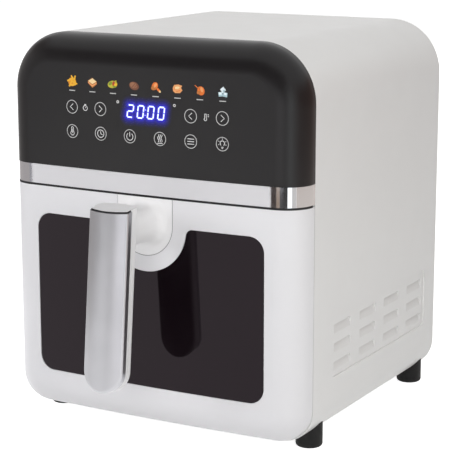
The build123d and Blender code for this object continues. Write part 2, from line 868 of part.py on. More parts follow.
board_screw_planes = [rear_plane(x, z, board_front + board_sheet) for x, z in board_boss_places]
board_screw_parts = [screw(seat, board_sheet + board_screw_depth) for seat in board_screw_planes]
with BuildPart() as board_screws:
    add(board_screw_parts)
save(board_screws, "board_screws")

# Cooking chamber: a pressed steel box, open at the front
sensor_x = sensor_side - chamber_width / 2
sensor_y = chamber_rear - sensor_inset
lamp_x = chamber_width / 2 - lamp_side
lamp_y = frame_rear + lamp_inset + lamp_radius
guard_screw_radius = (guard_radius + air_opening) / 2
guard_screw_step = 2 * pi / guard_screws_count
guard_turns = [(step + 0.5) * guard_screw_step for step in range(guard_screws_count)]
guard_screw_places = [
    (guard_screw_radius * cos(turn), axis_y + guard_screw_radius * sin(turn)) for turn in guard_turns
]
chamber_middle = chamber_floor + chamber_height / 2
with BuildPart() as chamber:
    with BuildSketch(Plane.XZ.offset(-frame_rear)):
        with Locations((0, chamber_middle)):
            RectangleRounded(
                chamber_width + 2 * sheet, chamber_height + 2 * sheet, chamber_corner + sheet
            )
    extrude(amount=-chamber_depth - sheet)
    fillet(chamber.faces().sort_by(Axis.Y)[-1].edges(), chamber_corner - sheet)
    offset(amount=-sheet, openings=chamber.faces().sort_by(Axis.Y)[0])
    with BuildSketch(Plane.XZ.offset(-frame_rear)):
        with Locations((0, chamber_middle)):
            RectangleRounded(
                chamber_width + 2 * chamber_flange,
                chamber_height + 2 * chamber_lip,
                chamber_corner + chamber_lip,
            )
            RectangleRounded(chamber_width, chamber_height, chamber_corner, mode=Mode.SUBTRACT)
    extrude(amount=-sheet)
    with BuildSketch(Plane.XY.offset(chamber_top)):
        with Locations((0, axis_y)):
            Circle(air_opening)
        with Locations((lamp_x, lamp_y)):
            Circle(lamp_radius + fit_gap)
        with Locations((sensor_x, sensor_y)):
            Circle(sensor_radius + fit_gap)
        with Locations(*guard_screw_places):
            Circle(screw_hole)
    extrude(amount=sheet, mode=Mode.SUBTRACT)
    with BuildSketch(Plane.XZ.offset(-chamber_rear)):
        with Locations((0, duct_low + duct_height / 2)):
            Rectangle(duct_width - 2 * sheet, duct_height - 2 * sheet)
    extrude(amount=-sheet, mode=Mode.SUBTRACT)
save(chamber, "chamber")

# Rails that carry the basket's rim
rail_top = basket_top - basket_wall - rail_clear
rail_front = frame_rear + rail_setback
rail_rear = chamber_rear - chamber_corner - rail_spare
for rail_name, side in (("rail_left", -1), ("rail_right", 1)):
    with BuildPart() as rail:
        with BuildSketch(Plane.XZ.offset(-rail_front)):
            with BuildLine():
                Polyline(
                    (side * chamber_width / 2, rail_top),
                    (side * (chamber_width / 2 - rail_width), rail_top),
                    (side * (chamber_width / 2 - rail_width), rail_top - sheet),
                    (side * (chamber_width / 2 - sheet), rail_top - sheet),
                    (side * (chamber_width / 2 - sheet), rail_top - rail_drop),
                    (side * chamber_width / 2, rail_top - rail_drop),
                    close=True,
                )
            make_face()
        extrude(amount=rail_front - rail_rear)
    save(rail, rail_name)

# Heater dome over the chamber's air opening
lead_angle = radians(coil_gap)
lead_out = (cos(lead_angle), sin(lead_angle))
lead_along = (-sin(lead_angle), cos(lead_angle))


def coil_point(radial, along, height):
    x = radial * lead_out[0] + along * lead_along[0]
    y = radial * lead_out[1] + along * lead_along[1]
    return (x, y, height)


coil_base = chamber_top + coil_rise
exit_corner = coil_inner + coil_exit
riser_outer = coil_point(coil_outer, -coil_bend, 0)
riser_inner = coil_point(exit_corner + coil_bend, -coil_exit, 0)
riser_places = [(-y, axis_y + x) for x, y, height in (riser_outer, riser_inner)]
dome_low = chamber_top + sheet
with BuildPart() as heater_dome:
    with BuildSketch(Plane.YZ):
        with BuildLine():
            Polyline(
                (axis_y, dome_top),
                (axis_y + dome_shoulder - dome_round, dome_top),
                (axis_y + dome_shoulder, dome_top - dome_round),
                (axis_y + dome_radius + sheet, dome_low + sheet),
                (axis_y + dome_radius + dome_flange, dome_low + sheet),
                (axis_y + dome_radius + dome_flange, dome_low),
                (axis_y + dome_radius, dome_low),
                (axis_y + dome_shoulder - sheet, dome_top - dome_round),
                (axis_y + dome_shoulder - dome_round - sheet / 2, dome_top - sheet),
                (axis_y, dome_top - sheet),
                close=True,
            )
        make_face()
    revolve(axis=Axis((0, axis_y, 0), (0, 0, 1)))
    with BuildSketch(Plane.XY.offset(dome_top)):
        with Locations((0, axis_y)):
            Circle(2 * shaft_radius)
            with GridLocations(plate_spacing_x, plate_spacing_y, 2, 2):
                Circle(screw_hole)
        with Locations(*riser_places):
            Circle(tube_radius + riser_clear)
    extrude(amount=-2 * sheet, mode=Mode.SUBTRACT)
save(heater_dome, "heater_dome")

# Heating element: a sheathed tube bent into a double ring, with both ends led up through the dome
riser_top = dome_top - coil_base + coil_ends
turn_radius = (coil_outer - coil_inner) / 2
turn_middle = (coil_outer + coil_inner) / 2
turn_along = (sin(lead_angle), cos(lead_angle))
far_out = (cos(lead_angle), -sin(lead_angle))
quarter = sqrt(0.5)
coil_plane = Plane(origin=(0, axis_y, coil_base), x_dir=(0, 1, 0), z_dir=(0, 0, 1))
with BuildPart() as heating_element:
    with BuildLine(coil_plane) as coil_path:
        Line(
            coil_point(coil_outer, -coil_bend, riser_top),
            coil_point(coil_outer, -coil_bend, coil_bend),
        )
        ThreePointArc(
            coil_point(coil_outer, -coil_bend, coil_bend),
            coil_point(coil_outer, -coil_bend * quarter, coil_bend * (1 - quarter)),
            coil_point(coil_outer, 0, 0),
        )
        ThreePointArc(
            coil_point(coil_outer, 0, 0),
            (-coil_outer, 0, 0),
            (coil_outer * far_out[0], coil_outer * far_out[1], 0),
        )
        ThreePointArc(
            (coil_outer * far_out[0], coil_outer * far_out[1], 0),
            (
                turn_middle * far_out[0] + turn_radius * turn_along[0],
                turn_middle * far_out[1] + turn_radius * turn_along[1],
                0,
            ),
            (coil_inner * far_out[0], coil_inner * far_out[1], 0),
        )
        ThreePointArc(
            (coil_inner * far_out[0], coil_inner * far_out[1], 0),
            (-coil_inner, 0, 0),
            coil_point(coil_inner, 0, 0),
        )
        ThreePointArc(
            coil_point(coil_inner, 0, 0),
            coil_point(coil_inner + coil_exit * (1 - quarter), -coil_exit * quarter, 0),
            coil_point(exit_corner, -coil_exit, 0),
        )
        ThreePointArc(
            coil_point(exit_corner, -coil_exit, 0),
            coil_point(exit_corner + coil_bend * quarter, -coil_exit, coil_bend * (1 - quarter)),
            coil_point(exit_corner + coil_bend, -coil_exit, coil_bend),
        )
        Line(
            coil_point(exit_corner + coil_bend, -coil_exit, coil_bend),
            coil_point(exit_corner + coil_bend, -coil_exit, riser_top),
        )
    tube_start = coil_path.wires()[0]
    with BuildSketch(Plane(origin=tube_start @ 0, z_dir=tube_start % 0)):
        RegularPolygon(tube_radius, post_sides)
    sweep(path=tube_start)
save(heating_element, "heating_element")

# Guard under the heater: a disc with radial slots
with BuildPart() as heater_guard:
    with BuildSketch(Plane.XY.offset(chamber_top)):
        with Locations((0, axis_y)):
            Circle(guard_radius)
            with PolarLocations((slot_inner + slot_outer) / 2, guard_slots):
                Rectangle(slot_outer - slot_inner, guard_slot, mode=Mode.SUBTRACT)
        with Locations(*guard_screw_places):
            Circle(screw_hole, mode=Mode.SUBTRACT)
    extrude(amount=-sheet)
save(heater_guard, "heater_guard")

guard_screw_planes = [under_plane(x, y, chamber_top - sheet) for x, y in guard_screw_places]
guard_screw_parts = [screw(seat, 3 * sheet + guard_screw_spare) for seat in guard_screw_planes]
with BuildPart() as guard_screws:
    add(guard_screw_parts)
save(guard_screws, "guard_screws")

# Motor plate on spacers, clear of the hot dome
plate_low = dome_top + spacer_height
with BuildPart() as motor_spacers:
    with BuildSketch(Plane.XY.offset(dome_top)):
        with Locations((0, axis_y)):
            with GridLocations(plate_spacing_x, plate_spacing_y, 2, 2):
                RegularPolygon(spacer_radius, screw_sides)
                Circle(screw_hole, mode=Mode.SUBTRACT)
    extrude(amount=spacer_height)
save(motor_spacers, "motor_spacers")

with BuildPart() as motor_plate:
    with BuildSketch(Plane.XY.offset(plate_low)):
        with Locations((0, axis_y)):
            RectangleRounded(
                plate_spacing_x + 2 * plate_margin, plate_spacing_y + 2 * plate_margin, plate_margin
            )
            Circle(bush_radius + plate_clear, mode=Mode.SUBTRACT)
            with GridLocations(plate_spacing_x, plate_spacing_y, 2, 2):
                Circle(screw_hole, mode=Mode.SUBTRACT)
    extrude(amount=plate_sheet)
save(motor_plate, "motor_plate")

# Motor: laminated stack with its coil, between two bearing brackets
stack_low = chamber_top + stack_rise
stack_top = stack_low + stack_height
coil_side = stack_width - 2 * coil_flank
stack_middle_y = axis_y + stack_offset
leg_middle_y = stack_middle_y + stack_depth / 2 - coil_leg / 2
with BuildPart() as stator_core:
    with BuildSketch(Plane.XY.offset(stack_low)):
        with Locations((0, stack_middle_y)):
            RectangleRounded(stack_width, stack_depth, stack_corner)
        with Locations((0, leg_middle_y - coil_leg / 2 - coil_window / 2)):
            Rectangle(coil_side, coil_window, mode=Mode.SUBTRACT)
        with Locations((0, axis_y)):
            Circle(rotor_radius + rotor_gap, mode=Mode.SUBTRACT)
    extrude(amount=stack_height)
save(stator_core, "stator_core")

with BuildPart() as stator_coil:
    with BuildSketch(Plane.YZ.offset(-coil_side / 2 + coil_end_gap)):
        with Locations((leg_middle_y, stack_low + stack_height / 2)):
            RectangleRounded(coil_leg + 2 * coil_wrap, stack_height + 2 * coil_wrap, coil_wrap)
            Rectangle(coil_leg, stack_height, mode=Mode.SUBTRACT)
    extrude(amount=coil_side - 2 * coil_end_gap)
save(stator_coil, "stator_coil")

post_spread = stack_width / 2 - bracket_post_inset
for end, direction, face in (("lower", -1, stack_low), ("upper", 1, stack_top)):
    bar_face = face + direction * bracket_reach
    with BuildPart() as bearing_bracket:
        with BuildSketch(Plane.XY.offset(bar_face)):
            with Locations((0, axis_y)):
                SlotOverall(stack_width, bracket_width)
                Circle(bush_radius, mode=Mode.SUBTRACT)
        extrude(amount=-direction * plate_sheet)
        with BuildSketch(Plane.XY.offset(bar_face)):
            with Locations((-post_spread, axis_y), (post_spread, axis_y)):
                RegularPolygon(bracket_post / 2, post_sides)
        extrude(amount=-direction * bracket_reach)
        with BuildSketch(Plane.XY.offset(bar_face)):
            with Locations((0, axis_y)):
                Circle(bush_radius + bush_wall)
                Circle(bush_radius, mode=Mode.SUBTRACT)
        extrude(amount=-direction * bush_height)
    save(bearing_bracket, f"bearing_bracket_{end}")
    with BuildPart() as bearing_bush:
        with BuildSketch(Plane.XY.offset(bar_face)):
            with Locations((0, axis_y)):
                Circle(bush_radius)
                Circle(shaft_radius + bore_gap, mode=Mode.SUBTRACT)
        extrude(amount=-direction * bush_height)
    save(bearing_bush, f"bearing_bush_{end}")

# Rotor: shaft, core, hot-air fan with its nut, and cooling fan
shaft_base = chamber_top + shaft_low
with BuildPart() as motor_shaft:
    with BuildSketch(Plane.XY.offset(shaft_base)):
        with Locations((0, axis_y)):
            Circle(shaft_radius)
    extrude(amount=shaft_length)
    chamfer(motor_shaft.edges().filter_by(GeomType.CIRCLE), shaft_bevel)
save(motor_shaft, "motor_shaft")

with BuildPart() as rotor_core:
    with BuildSketch(Plane.XY.offset(stack_low)):
        with Locations((0, axis_y)):
            Circle(rotor_radius)
            Circle(shaft_radius, mode=Mode.SUBTRACT)
    extrude(amount=stack_height)
save(rotor_core, "rotor_core")

fan_low = chamber_top + fan_rise
blade_middle = fan_radius - blade_inset - blade_length / 2
with BuildPart() as hot_air_fan:
    with BuildSketch(Plane.XY.offset(fan_low)):
        with Locations((0, axis_y)):
            Circle(fan_radius)
    extrude(amount=blade_sheet)
    with BuildSketch(Plane.XY.offset(fan_low)):
        with Locations((0, axis_y)):
            with PolarLocations(blade_middle, fan_blades):
                Rectangle(blade_length, blade_sheet, rotation=blade_lean)
            Circle(hub_radius)
    extrude(amount=-blade_height)
    with BuildSketch(Plane.XY.offset(fan_low + blade_sheet)):
        with Locations((0, axis_y)):
            Circle(shaft_radius)
    extrude(amount=-blade_sheet - blade_height, mode=Mode.SUBTRACT)
save(hot_air_fan, "hot_air_fan")

with BuildPart() as fan_nut:
    with BuildSketch(Plane.XY.offset(fan_low - blade_height)):
        with Locations((0, axis_y)):
            RegularPolygon(nut_radius, screw_sides)
            Circle(shaft_radius, mode=Mode.SUBTRACT)
    extrude(amount=-nut_height)
save(fan_nut, "fan_nut")

cooler_low = chamber_top + cooler_rise
cooler_middle = cooler_radius - cooler_inset - cooler_length / 2
with BuildPart() as cooling_fan:
    with BuildSketch(Plane.XY.offset(cooler_low)):
        with Locations((0, axis_y)):
            Circle(cooler_radius)
    extrude(amount=cooler_sheet)
    with BuildSketch(Plane.XY.offset(cooler_low + cooler_sheet)):
        with Locations((0, axis_y)):
            with PolarLocations(cooler_middle, cooler_blades):
                Rectangle(cooler_length, cooler_sheet, rotation=blade_lean)
            Circle(hub_radius)
    extrude(amount=cooler_height)
    with BuildSketch(Plane.XY.offset(cooler_low)):
        with Locations((0, axis_y)):
            Circle(shaft_radius)
    extrude(amount=cooler_sheet + cooler_height, mode=Mode.SUBTRACT)
save(cooling_fan, "cooling_fan")

# Temperature probe through the chamber's top
probe_base = chamber_top + sheet
with BuildPart() as temperature_sensor:
    with BuildSketch(Plane.XY.offset(probe_base)):
        with Locations((sensor_x, sensor_y)):
            Circle(probe_flange)
    extrude(amount=probe_collar)
    with BuildSketch(Plane.XY.offset(probe_base + probe_collar)):
        with Locations((sensor_x, sensor_y)):
            Circle(sensor_radius)
    extrude(amount=-probe_length)
    chamfer(temperature_sensor.faces().sort_by(Axis.Z)[0].edges(), sensor_radius / 2)
save(temperature_sensor, "temperature_sensor")

# Thermal cut-out: a disc switch with two tabs on the dome
with BuildPart() as thermal_cutout:
    with BuildSketch(Plane.XY.offset(dome_top)):
        with Locations((cutout_x, axis_y)):
            Rectangle(cutout_foot_width, cutout_foot_length)
    extrude(amount=sheet)
    with BuildSketch(Plane.XY.offset(dome_top + sheet)):
        with Locations((cutout_x, axis_y)):
            Circle(cutout_radius)
    extrude(amount=cutout_height)
    with BuildSketch(Plane.XY.offset(dome_top + sheet + cutout_height)):
        with Locations((cutout_x, axis_y)):
            with GridLocations(tab_spread, 0, 2, 1):
                Rectangle(tab_sheet, tab_width)
    extrude(amount=tab_height)
save(thermal_cutout, "thermal_cutout")

# Lamp over the front of the basket: lens, bulb and holder
lamp_base = chamber_top + sheet
with BuildPart() as lamp_lens:
    with BuildSketch(Plane.XY.offset(lamp_base)):
        with Locations((lamp_x, lamp_y)):
            Circle(lamp_radius + lens_lip)
    extrude(amount=lens_sheet)
    with BuildSketch(Plane.XY.offset(lamp_base)):
        with Locations((lamp_x, lamp_y)):
            Circle(lamp_radius)
    extrude(amount=-2 * sheet)
save(lamp_lens, "lamp_lens")

with BuildPart() as lamp_holder:
    with BuildSketch(Plane.XY.offset(lamp_base)):
        with Locations((lamp_x, lamp_y)):
            Circle(lamp_radius + lens_lip + sheet)
    extrude(amount=lamp_can)
    chamfer(lamp_holder.faces().sort_by(Axis.Z)[-1].edges(), lamp_bevel)
    with BuildSketch(Plane.XY.offset(lamp_base)):
        with Locations((lamp_x, lamp_y)):
            Circle(lamp_radius + lens_lip)
    extrude(amount=lamp_can - lamp_cap, mode=Mode.SUBTRACT)
save(lamp_holder, "lamp_holder")

bulb_top = lamp_base + lamp_can - lamp_cap
with BuildPart() as lamp_bulb:
    with BuildSketch(Plane.XY.offset(bulb_top)):
        with Locations((lamp_x, lamp_y)):
            Circle(bulb_radius)
    extrude(amount=-bulb_length)
    chamfer(lamp_bulb.faces().sort_by(Axis.Z)[0].edges(), bulb_radius / 2)
save(lamp_bulb, "lamp_bulb")

# Drawer switch behind the front frame, held in by the closed drawer
with BuildPart() as drawer_switch:
    with BuildSketch(Plane.XZ.offset(-frame_rear)):
        with Locations((switch_x, switch_z - switch_pin)):
            Rectangle(switch_width, switch_height, align=(Align.CENTER, Align.MIN))
    extrude(amount=-switch_depth)
    with BuildSketch(Plane.XZ.offset(-frame_rear)):
        with Locations((switch_x, switch_z)):
            Circle(switch_pin)
    extrude(amount=frame_thickness + drawer_gap - pin_travel)
save(drawer_switch, "drawer_switch")

# Power board on the left wall, with relay, capacitor and transformer
power_x = -half_width + casing_wall + power_stand
power_middle_y = axis_y - power_shift
power_height = body_height - power_head - power_low
power_middle_z = power_low + power_height / 2
relay_z = power_middle_z + relay_rise * power_height
transformer_z = power_middle_z + transformer_rise * power_height
capacitor_z = power_middle_z - capacitor_drop * power_height
with BuildPart() as power_board:
    with BuildSketch(Plane.YZ.offset(power_x)):
        with Locations((power_middle_y, power_middle_z)):
            RectangleRounded(power_length, power_height, board_corner)
    extrude(amount=board_sheet)
    with BuildSketch(Plane.YZ.offset(power_x + board_sheet)):
        with Locations((power_middle_y - relay_forward, relay_z)):
            Rectangle(relay_length, relay_height)
        with Locations((power_middle_y + transformer_back, transformer_z)):
            Rectangle(transformer_length, transformer_height)
        with Locations((power_middle_y, capacitor_z)):
            Circle(capacitor_radius)
    extrude(amount=power_parts_height)
    with BuildSketch(Plane.YZ.offset(power_x)):
        with Locations((power_middle_y, power_middle_z)):
            with GridLocations(
                power_length - 2 * power_screw_inset, power_height - 2 * power_screw_inset, 2, 2
            ):
                RegularPolygon(power_post, post_sides)
    extrude(amount=-power_stand)
save(power_board, "power_board")

# Exhaust duct from the chamber to the rear grille
duct_front = chamber_rear + sheet
with BuildPart() as exhaust_duct:
    with BuildSketch(Plane.XZ.offset(-duct_front)):
        with Locations((0, duct_low + duct_height / 2)):
            Rectangle(duct_width, duct_height)
            Rectangle(duct_width - 2 * sheet, duct_height - 2 * sheet, mode=Mode.SUBTRACT)
    extrude(amount=duct_front - cover_back)
save(exhaust_duct, "exhaust_duct")

# Cord gland: a flanged bush in the rear cover
with BuildPart() as cord_gland:
    with BuildSketch(Plane.XZ.offset(-cover_front)):
        with Locations((gland_x, gland_z)):
            Circle(gland_radius + gland_rim)
    extrude(amount=-gland_flange)
    with BuildSketch(Plane.XZ.offset(-cover_front)):
        with Locations((gland_x, gland_z)):
            Circle(gland_radius)
    extrude(amount=gland_length)
    with BuildSketch(Plane.XZ.offset(-cover_front - gland_flange)):
        with Locations((gland_x, gland_z)):
            Circle(cord_radius)
    extrude(amount=gland_flange + gland_length, mode=Mode.SUBTRACT)
save(cord_gland, "cord_gland")

# Drawer front: a hollow moulding with the window opening and the handle's seat
drawer_skin = front_band(0.0, front_bottom, drawer_top, drawer_rear)
drawer_inside = front_band(drawer_wall, front_bottom, drawer_top - drawer_wall, drawer_rear)
window_hole = bowed_plate(window_outline(0.0), -front_bow, seat_depth)
handle_seat = bowed_plate(base_outline(seat_rim, drawer_top), drawer_wall / 2, seat_depth)
handle_hole = bowed_plate(base_outline(0.0, drawer_top), -front_bow, drawer_wall + bore_gap)
handle_screw_half = handle_screw_pitch / 2
handle_screw_places = [(0, boss_height - handle_screw_half), (0, boss_height + handle_screw_half)]
back_screw_x = half_width - back_screw_side
back_screw_rows = (back_screw_low, strip_bottom - back_screw_drop)
back_screw_places = [(side * back_screw_x, z) for side in (-1, 1) for z in back_screw_rows]
back_front = drawer_rear - drawer_back_wall
back_boss_wall = front_y + bow_setback(back_screw_x + back_post) + drawer_wall / 2
back_post_length = back_front - back_boss_wall
back_post_planes = [front_plane(x, z, back_front) for x, z in back_screw_places]
back_posts = [post(seat, back_post, screw_hole, back_post_length) for seat in back_post_planes]
with BuildPart() as drawer_front:
    add(drawer_skin)
    add(drawer_inside, mode=Mode.SUBTRACT)
    add(window_hole, mode=Mode.SUBTRACT)
    add(handle_seat)
    add(handle_hole, mode=Mode.SUBTRACT)
    with BuildSketch(Plane.XZ.offset(-front_y - 2 * seat_depth)):
        with Locations(*handle_screw_places):
            Circle(screw_hole)
    extrude(amount=2 * seat_depth, mode=Mode.SUBTRACT)
    add(back_posts)
save(drawer_front, "drawer_front")

# Window: dark glass with a front that fills the opening and a flange behind the wall
pane_front = bowed_plate(window_outline(-fit_gap), window_sink, drawer_wall + window_flange)
pane_flange = bowed_plate(window_outline(window_lip), drawer_wall + bore_gap, drawer_wall + window_flange)
with BuildPart() as window_outer:
    add(pane_front)
    add(pane_flange)
save(window_outer, "window_outer")

# Handle: base, neck and grip in one moulding, with a bright cover over the grip
grip_top = Vector(0, front_y - handle_offset, handle_top)
grip_down = Vector(0, -sin(tilt), -cos(tilt))
grip_normal = (0, -cos(tilt), sin(tilt))
grip_section = Plane(origin=grip_top - grip_down * cap_spare, x_dir=(1, 0, 0), z_dir=grip_down)
grip_face = Plane(origin=grip_top, x_dir=(1, 0, 0), z_dir=grip_normal)
cap_plane = Plane(origin=grip_top, x_dir=(1, 0, 0), z_dir=(0, -sin(cap_angle), cos(cap_angle)))
grip_half = handle_width / 2
crown_radius = (grip_half**2 + grip_crown**2) / (2 * grip_crown)


def grip_form(inset):
    half = grip_half - inset
    radius = crown_radius - inset
    shoulder = sqrt(radius**2 - half**2) - crown_radius
    corner = -grip_crown - grip_side
    with BuildPart() as form:
        with BuildSketch(grip_section):
            with BuildLine():
                ThreePointArc((-half, shoulder), (0, -inset), (half, shoulder))
                Line((half, shoulder), (half, corner))
                ThreePointArc((half, corner), (0, corner - grip_back), (-half, corner))
                Line((-half, corner), (-half, shoulder))
            make_face()
        extrude(amount=handle_length + cap_spare)
        with BuildSketch(grip_face):
            with Locations((0, grip_half - handle_length)):
                Circle(half)
                Rectangle(2 * half, handle_length, align=(Align.CENTER, Align.MIN))
        extrude(amount=3 * handle_width, both=True, mode=Mode.INTERSECT)
    return form.part


grip_outer = grip_form(0.0)
grip_inner = grip_form(cover_sheet)
cover_parting = grip_face.offset(-grip_crown - cover_skirt)
with BuildPart() as grip_solid:
    add(grip_outer)
    front_arc = grip_solid.faces().filter_by(GeomType.CYLINDER).sort_by(Axis.Y)[0]
    crown_edges = front_arc.edges().sort_by(Axis.Z)[:-1]
    fillet(crown_edges, grip_edge)
    back_arc = grip_solid.faces().filter_by(GeomType.CYLINDER).sort_by(Axis.Y)[-1]
    fillet(back_arc.edges().sort_by(Axis.Z)[:-1], grip_round)
    split(bisect_by=cap_plane, keep=Keep.BOTTOM)
with BuildPart() as cover_space:
    add(grip_solid.part)
    split(bisect_by=cover_parting, keep=Keep.TOP)
    add(grip_inner, mode=Mode.SUBTRACT)
with BuildPart() as handle_cover:
    add(cover_space.part)
    split(bisect_by=cap_plane.offset(-cover_drop), keep=Keep.BOTTOM)
save(handle_cover, "handle_cover")

neck_middle = boss_height + neck_lift
neck_low = neck_middle - neck_height / 2 - seam_tolerance
neck_high = neck_middle + neck_height / 2 + seam_tolerance
neck_side = neck_width / 2 + seam_tolerance
handle_base = bowed_plate(base_outline(-fit_gap, drawer_top), 0.0, drawer_wall)
with BuildPart() as handle_body:
    add(handle_base)
    with BuildSketch(front_plane(0, neck_middle, front_y + drawer_wall / 2)):
        RectangleRounded(neck_width, neck_height, neck_corner)
    extrude(amount=handle_offset - grip_crown - grip_side / 2 + drawer_wall / 2)
    neck_loop = handle_body.edges().filter_by_position(
        Axis.Y, front_y - seam_tolerance, front_y + seam_tolerance
    )
    neck_loop = neck_loop.filter_by_position(Axis.Z, neck_low, neck_high)
    neck_loop = neck_loop.filter_by_position(Axis.X, -neck_side, neck_side)
    fillet(neck_loop, neck_flare)
    add(grip_solid.part)
    add(cover_space.part, mode=Mode.SUBTRACT)
    with BuildSketch(front_plane(0, 0, front_y + drawer_wall)):
        with Locations(*handle_screw_places):
            Circle(screw_hole)
    extrude(amount=handle_screw_depth, mode=Mode.SUBTRACT)
save(handle_body, "handle_body")

handle_screw_seat = front_y + seat_depth + bore_gap
handle_screw_planes = [rear_plane(x, z, handle_screw_seat) for x, z in handle_screw_places]
handle_screw_parts = [screw(seat, handle_screw_depth) for seat in handle_screw_planes]
with BuildPart() as handle_screws:
    add(handle_screw_parts)
save(handle_screws, "handle_screws")

# Drawer back: closes the moulding and carries the basket on four posts
basket_screw_rows = (basket_screw_low, basket_top - basket_screw_drop)
basket_screw_places = [(side * basket_screw_x, z) for side in (-1, 1) for z in basket_screw_rows]
pane_middle = pane_bottom + pane_height / 2
back_outline = outline_face(Plane.XZ.offset(-drawer_rear), front_bottom, drawer_wall + fit_gap)
basket_post_length = basket_front - drawer_rear
basket_post_planes = [rear_plane(x, z, drawer_rear) for x, z in basket_screw_places]
basket_posts = [post(seat, basket_post, screw_hole, basket_post_length) for seat in basket_post_planes]
with BuildPart() as drawer_back:
    extrude(back_outline, amount=drawer_back_wall)
    split(bisect_by=Plane.XY.offset(drawer_top - drawer_wall - fit_gap), keep=Keep.BOTTOM)
    with BuildSketch(Plane.XZ.offset(-drawer_rear)):
        with Locations((0, pane_middle)):
            RectangleRounded(pane_width - 2 * gasket_in, pane_height - 2 * gasket_in, pane_corner)
        with Locations(*basket_screw_places):
            Circle(screw_hole)
        with Locations(*back_screw_places):
            Circle(screw_hole)
    extrude(amount=drawer_back_wall, mode=Mode.SUBTRACT)
    with BuildSketch(Plane.XZ.offset(-drawer_rear)):
        with Locations(*back_screw_places):
            Circle(screw_head + bore_gap)
    extrude(amount=head_height, mode=Mode.SUBTRACT)
    add(basket_posts)
save(drawer_back, "drawer_back")

back_screw_planes = [rear_plane(x, z, drawer_rear - head_height) for x, z in back_screw_places]
back_screw_parts = [screw(seat, back_screw_depth) for seat in back_screw_planes]
with BuildPart() as drawer_screws:
    add(back_screw_parts)
save(drawer_screws, "drawer_screws")

# Inner window pane, gripped by its gasket between the drawer back and the basket
pane_front_y = (drawer_rear + basket_front - pane_thickness) / 2
with BuildPart() as window_inner:
    with BuildSketch(Plane.XZ.offset(-pane_front_y)):
        with Locations((0, pane_middle)):
            RectangleRounded(pane_width, pane_height, pane_corner)
    extrude(amount=-pane_thickness)
save(window_inner, "window_inner")

with BuildPart() as window_gasket:
    with BuildSketch(Plane.XZ.offset(-drawer_rear)):
        with Locations((0, pane_middle)):
            RectangleRounded(
                pane_width + 2 * gasket_out, pane_height + 2 * gasket_out, pane_corner + gasket_out
            )
            RectangleRounded(
                pane_width - 2 * gasket_in,
                pane_height - 2 * gasket_in,
                pane_corner,
                mode=Mode.SUBTRACT,
            )
    extrude(amount=drawer_rear - basket_front)
    add(window_inner.part, mode=Mode.SUBTRACT)
save(window_gasket, "window_gasket")

# Basket: a deep pan with an outward rim on three sides and the window opening in front
basket_middle_y = basket_front + basket_depth / 2
with BuildPart() as basket:
    with BuildSketch(Plane.XY.offset(basket_floor)):
        with Locations((0, basket_middle_y)):
            RectangleRounded(basket_width, basket_depth, basket_corner)
    extrude(amount=basket_height)
    fillet(basket.faces().sort_by(Axis.Z)[0].edges(), basket_round)
    offset(amount=-basket_wall, openings=basket.faces().sort_by(Axis.Z)[-1])
    with BuildSketch(Plane.XY.offset(basket_top)):
        with Locations((0, basket_front)):
            Rectangle(2 * rim_half, basket_depth + rim_width, align=(Align.CENTER, Align.MIN))
        with Locations((0, basket_middle_y)):
            RectangleRounded(
                basket_width - 2 * basket_wall,
                basket_depth - 2 * basket_wall,
                basket_corner - basket_wall,
                mode=Mode.SUBTRACT,
            )
    extrude(amount=-basket_wall)
    rim_corners = basket.edges().filter_by(Axis.Z)
    rim_corners = rim_corners.filter_by_position(Axis.Z, basket_top - basket_wall, basket_top)
    fillet(rim_corners.sort_by(Axis.Y)[-2:], basket_corner)
    with BuildSketch(Plane.XZ.offset(-basket_front)):
        with Locations((0, pane_middle)):
            RectangleRounded(pane_width - 2 * gasket_in, pane_height - 2 * gasket_in, pane_corner)
        with Locations(*basket_screw_places):
            Circle(screw_hole)
    extrude(amount=-basket_wall, mode=Mode.SUBTRACT)
save(basket, "basket")

basket_screw_planes = [front_plane(x, z, back_front) for x, z in basket_screw_places]
basket_screw_parts = [screw(seat, basket_front + basket_wall - back_front) for seat in basket_screw_planes]
with BuildPart() as basket_screws:
    add(basket_screw_parts)
save(basket_screws, "basket_screws")

# Crisper tray: a perforated plate with a skirt, four legs and rubber bumpers
tray_low = basket_floor + basket_wall + tray_lift
tray_width = basket_width - 2 * basket_wall - 2 * tray_margin
tray_depth = basket_depth - 2 * basket_wall - 2 * tray_margin
tray_corner = basket_corner - basket_wall - tray_margin
tray_pitch_x = (tray_width - 2 * tray_side) / (tray_slots_x - 1)
tray_pitch_y = (tray_depth - 2 * tray_end) / (tray_slots_y - 1)
with BuildPart() as crisper_tray:
    with BuildSketch(Plane.XY.offset(tray_low)):
        with Locations((0, basket_middle_y)):
            RectangleRounded(tray_width, tray_depth, tray_corner)
            with GridLocations(tray_pitch_x, tray_pitch_y, tray_slots_x, tray_slots_y):
                Rectangle(tray_slot_length, tray_slot_width, mode=Mode.SUBTRACT)
    extrude(amount=tray_sheet)
    with BuildSketch(Plane.XY.offset(tray_low)):
        with Locations((0, basket_middle_y)):
            RectangleRounded(tray_width, tray_depth, tray_corner)
            RectangleRounded(
                tray_width - 2 * tray_sheet,
                tray_depth - 2 * tray_sheet,
                tray_corner - tray_sheet,
                mode=Mode.SUBTRACT,
            )
    extrude(amount=-tray_skirt)
    with BuildSketch(Plane.XY.offset(tray_low)):
        with Locations((0, basket_middle_y)):
            with GridLocations(tray_width - 2 * leg_inset, tray_depth - 2 * leg_inset, 2, 2):
                RegularPolygon(leg_radius, post_sides)
    extrude(amount=tray_gap - tray_lift)
save(crisper_tray, "crisper_tray")

with BuildPart() as tray_bumpers:
    with BuildSketch(Plane.XY.offset(tray_low + tray_sheet)):
        with Locations((0, basket_middle_y)):
            with GridLocations(tray_width + bumper_width, bumper_spread, 2, 2):
                Rectangle(bumper_width, bumper_length)
    extrude(amount=-bumper_height)
save(tray_bumpers, "tray_bumpers")
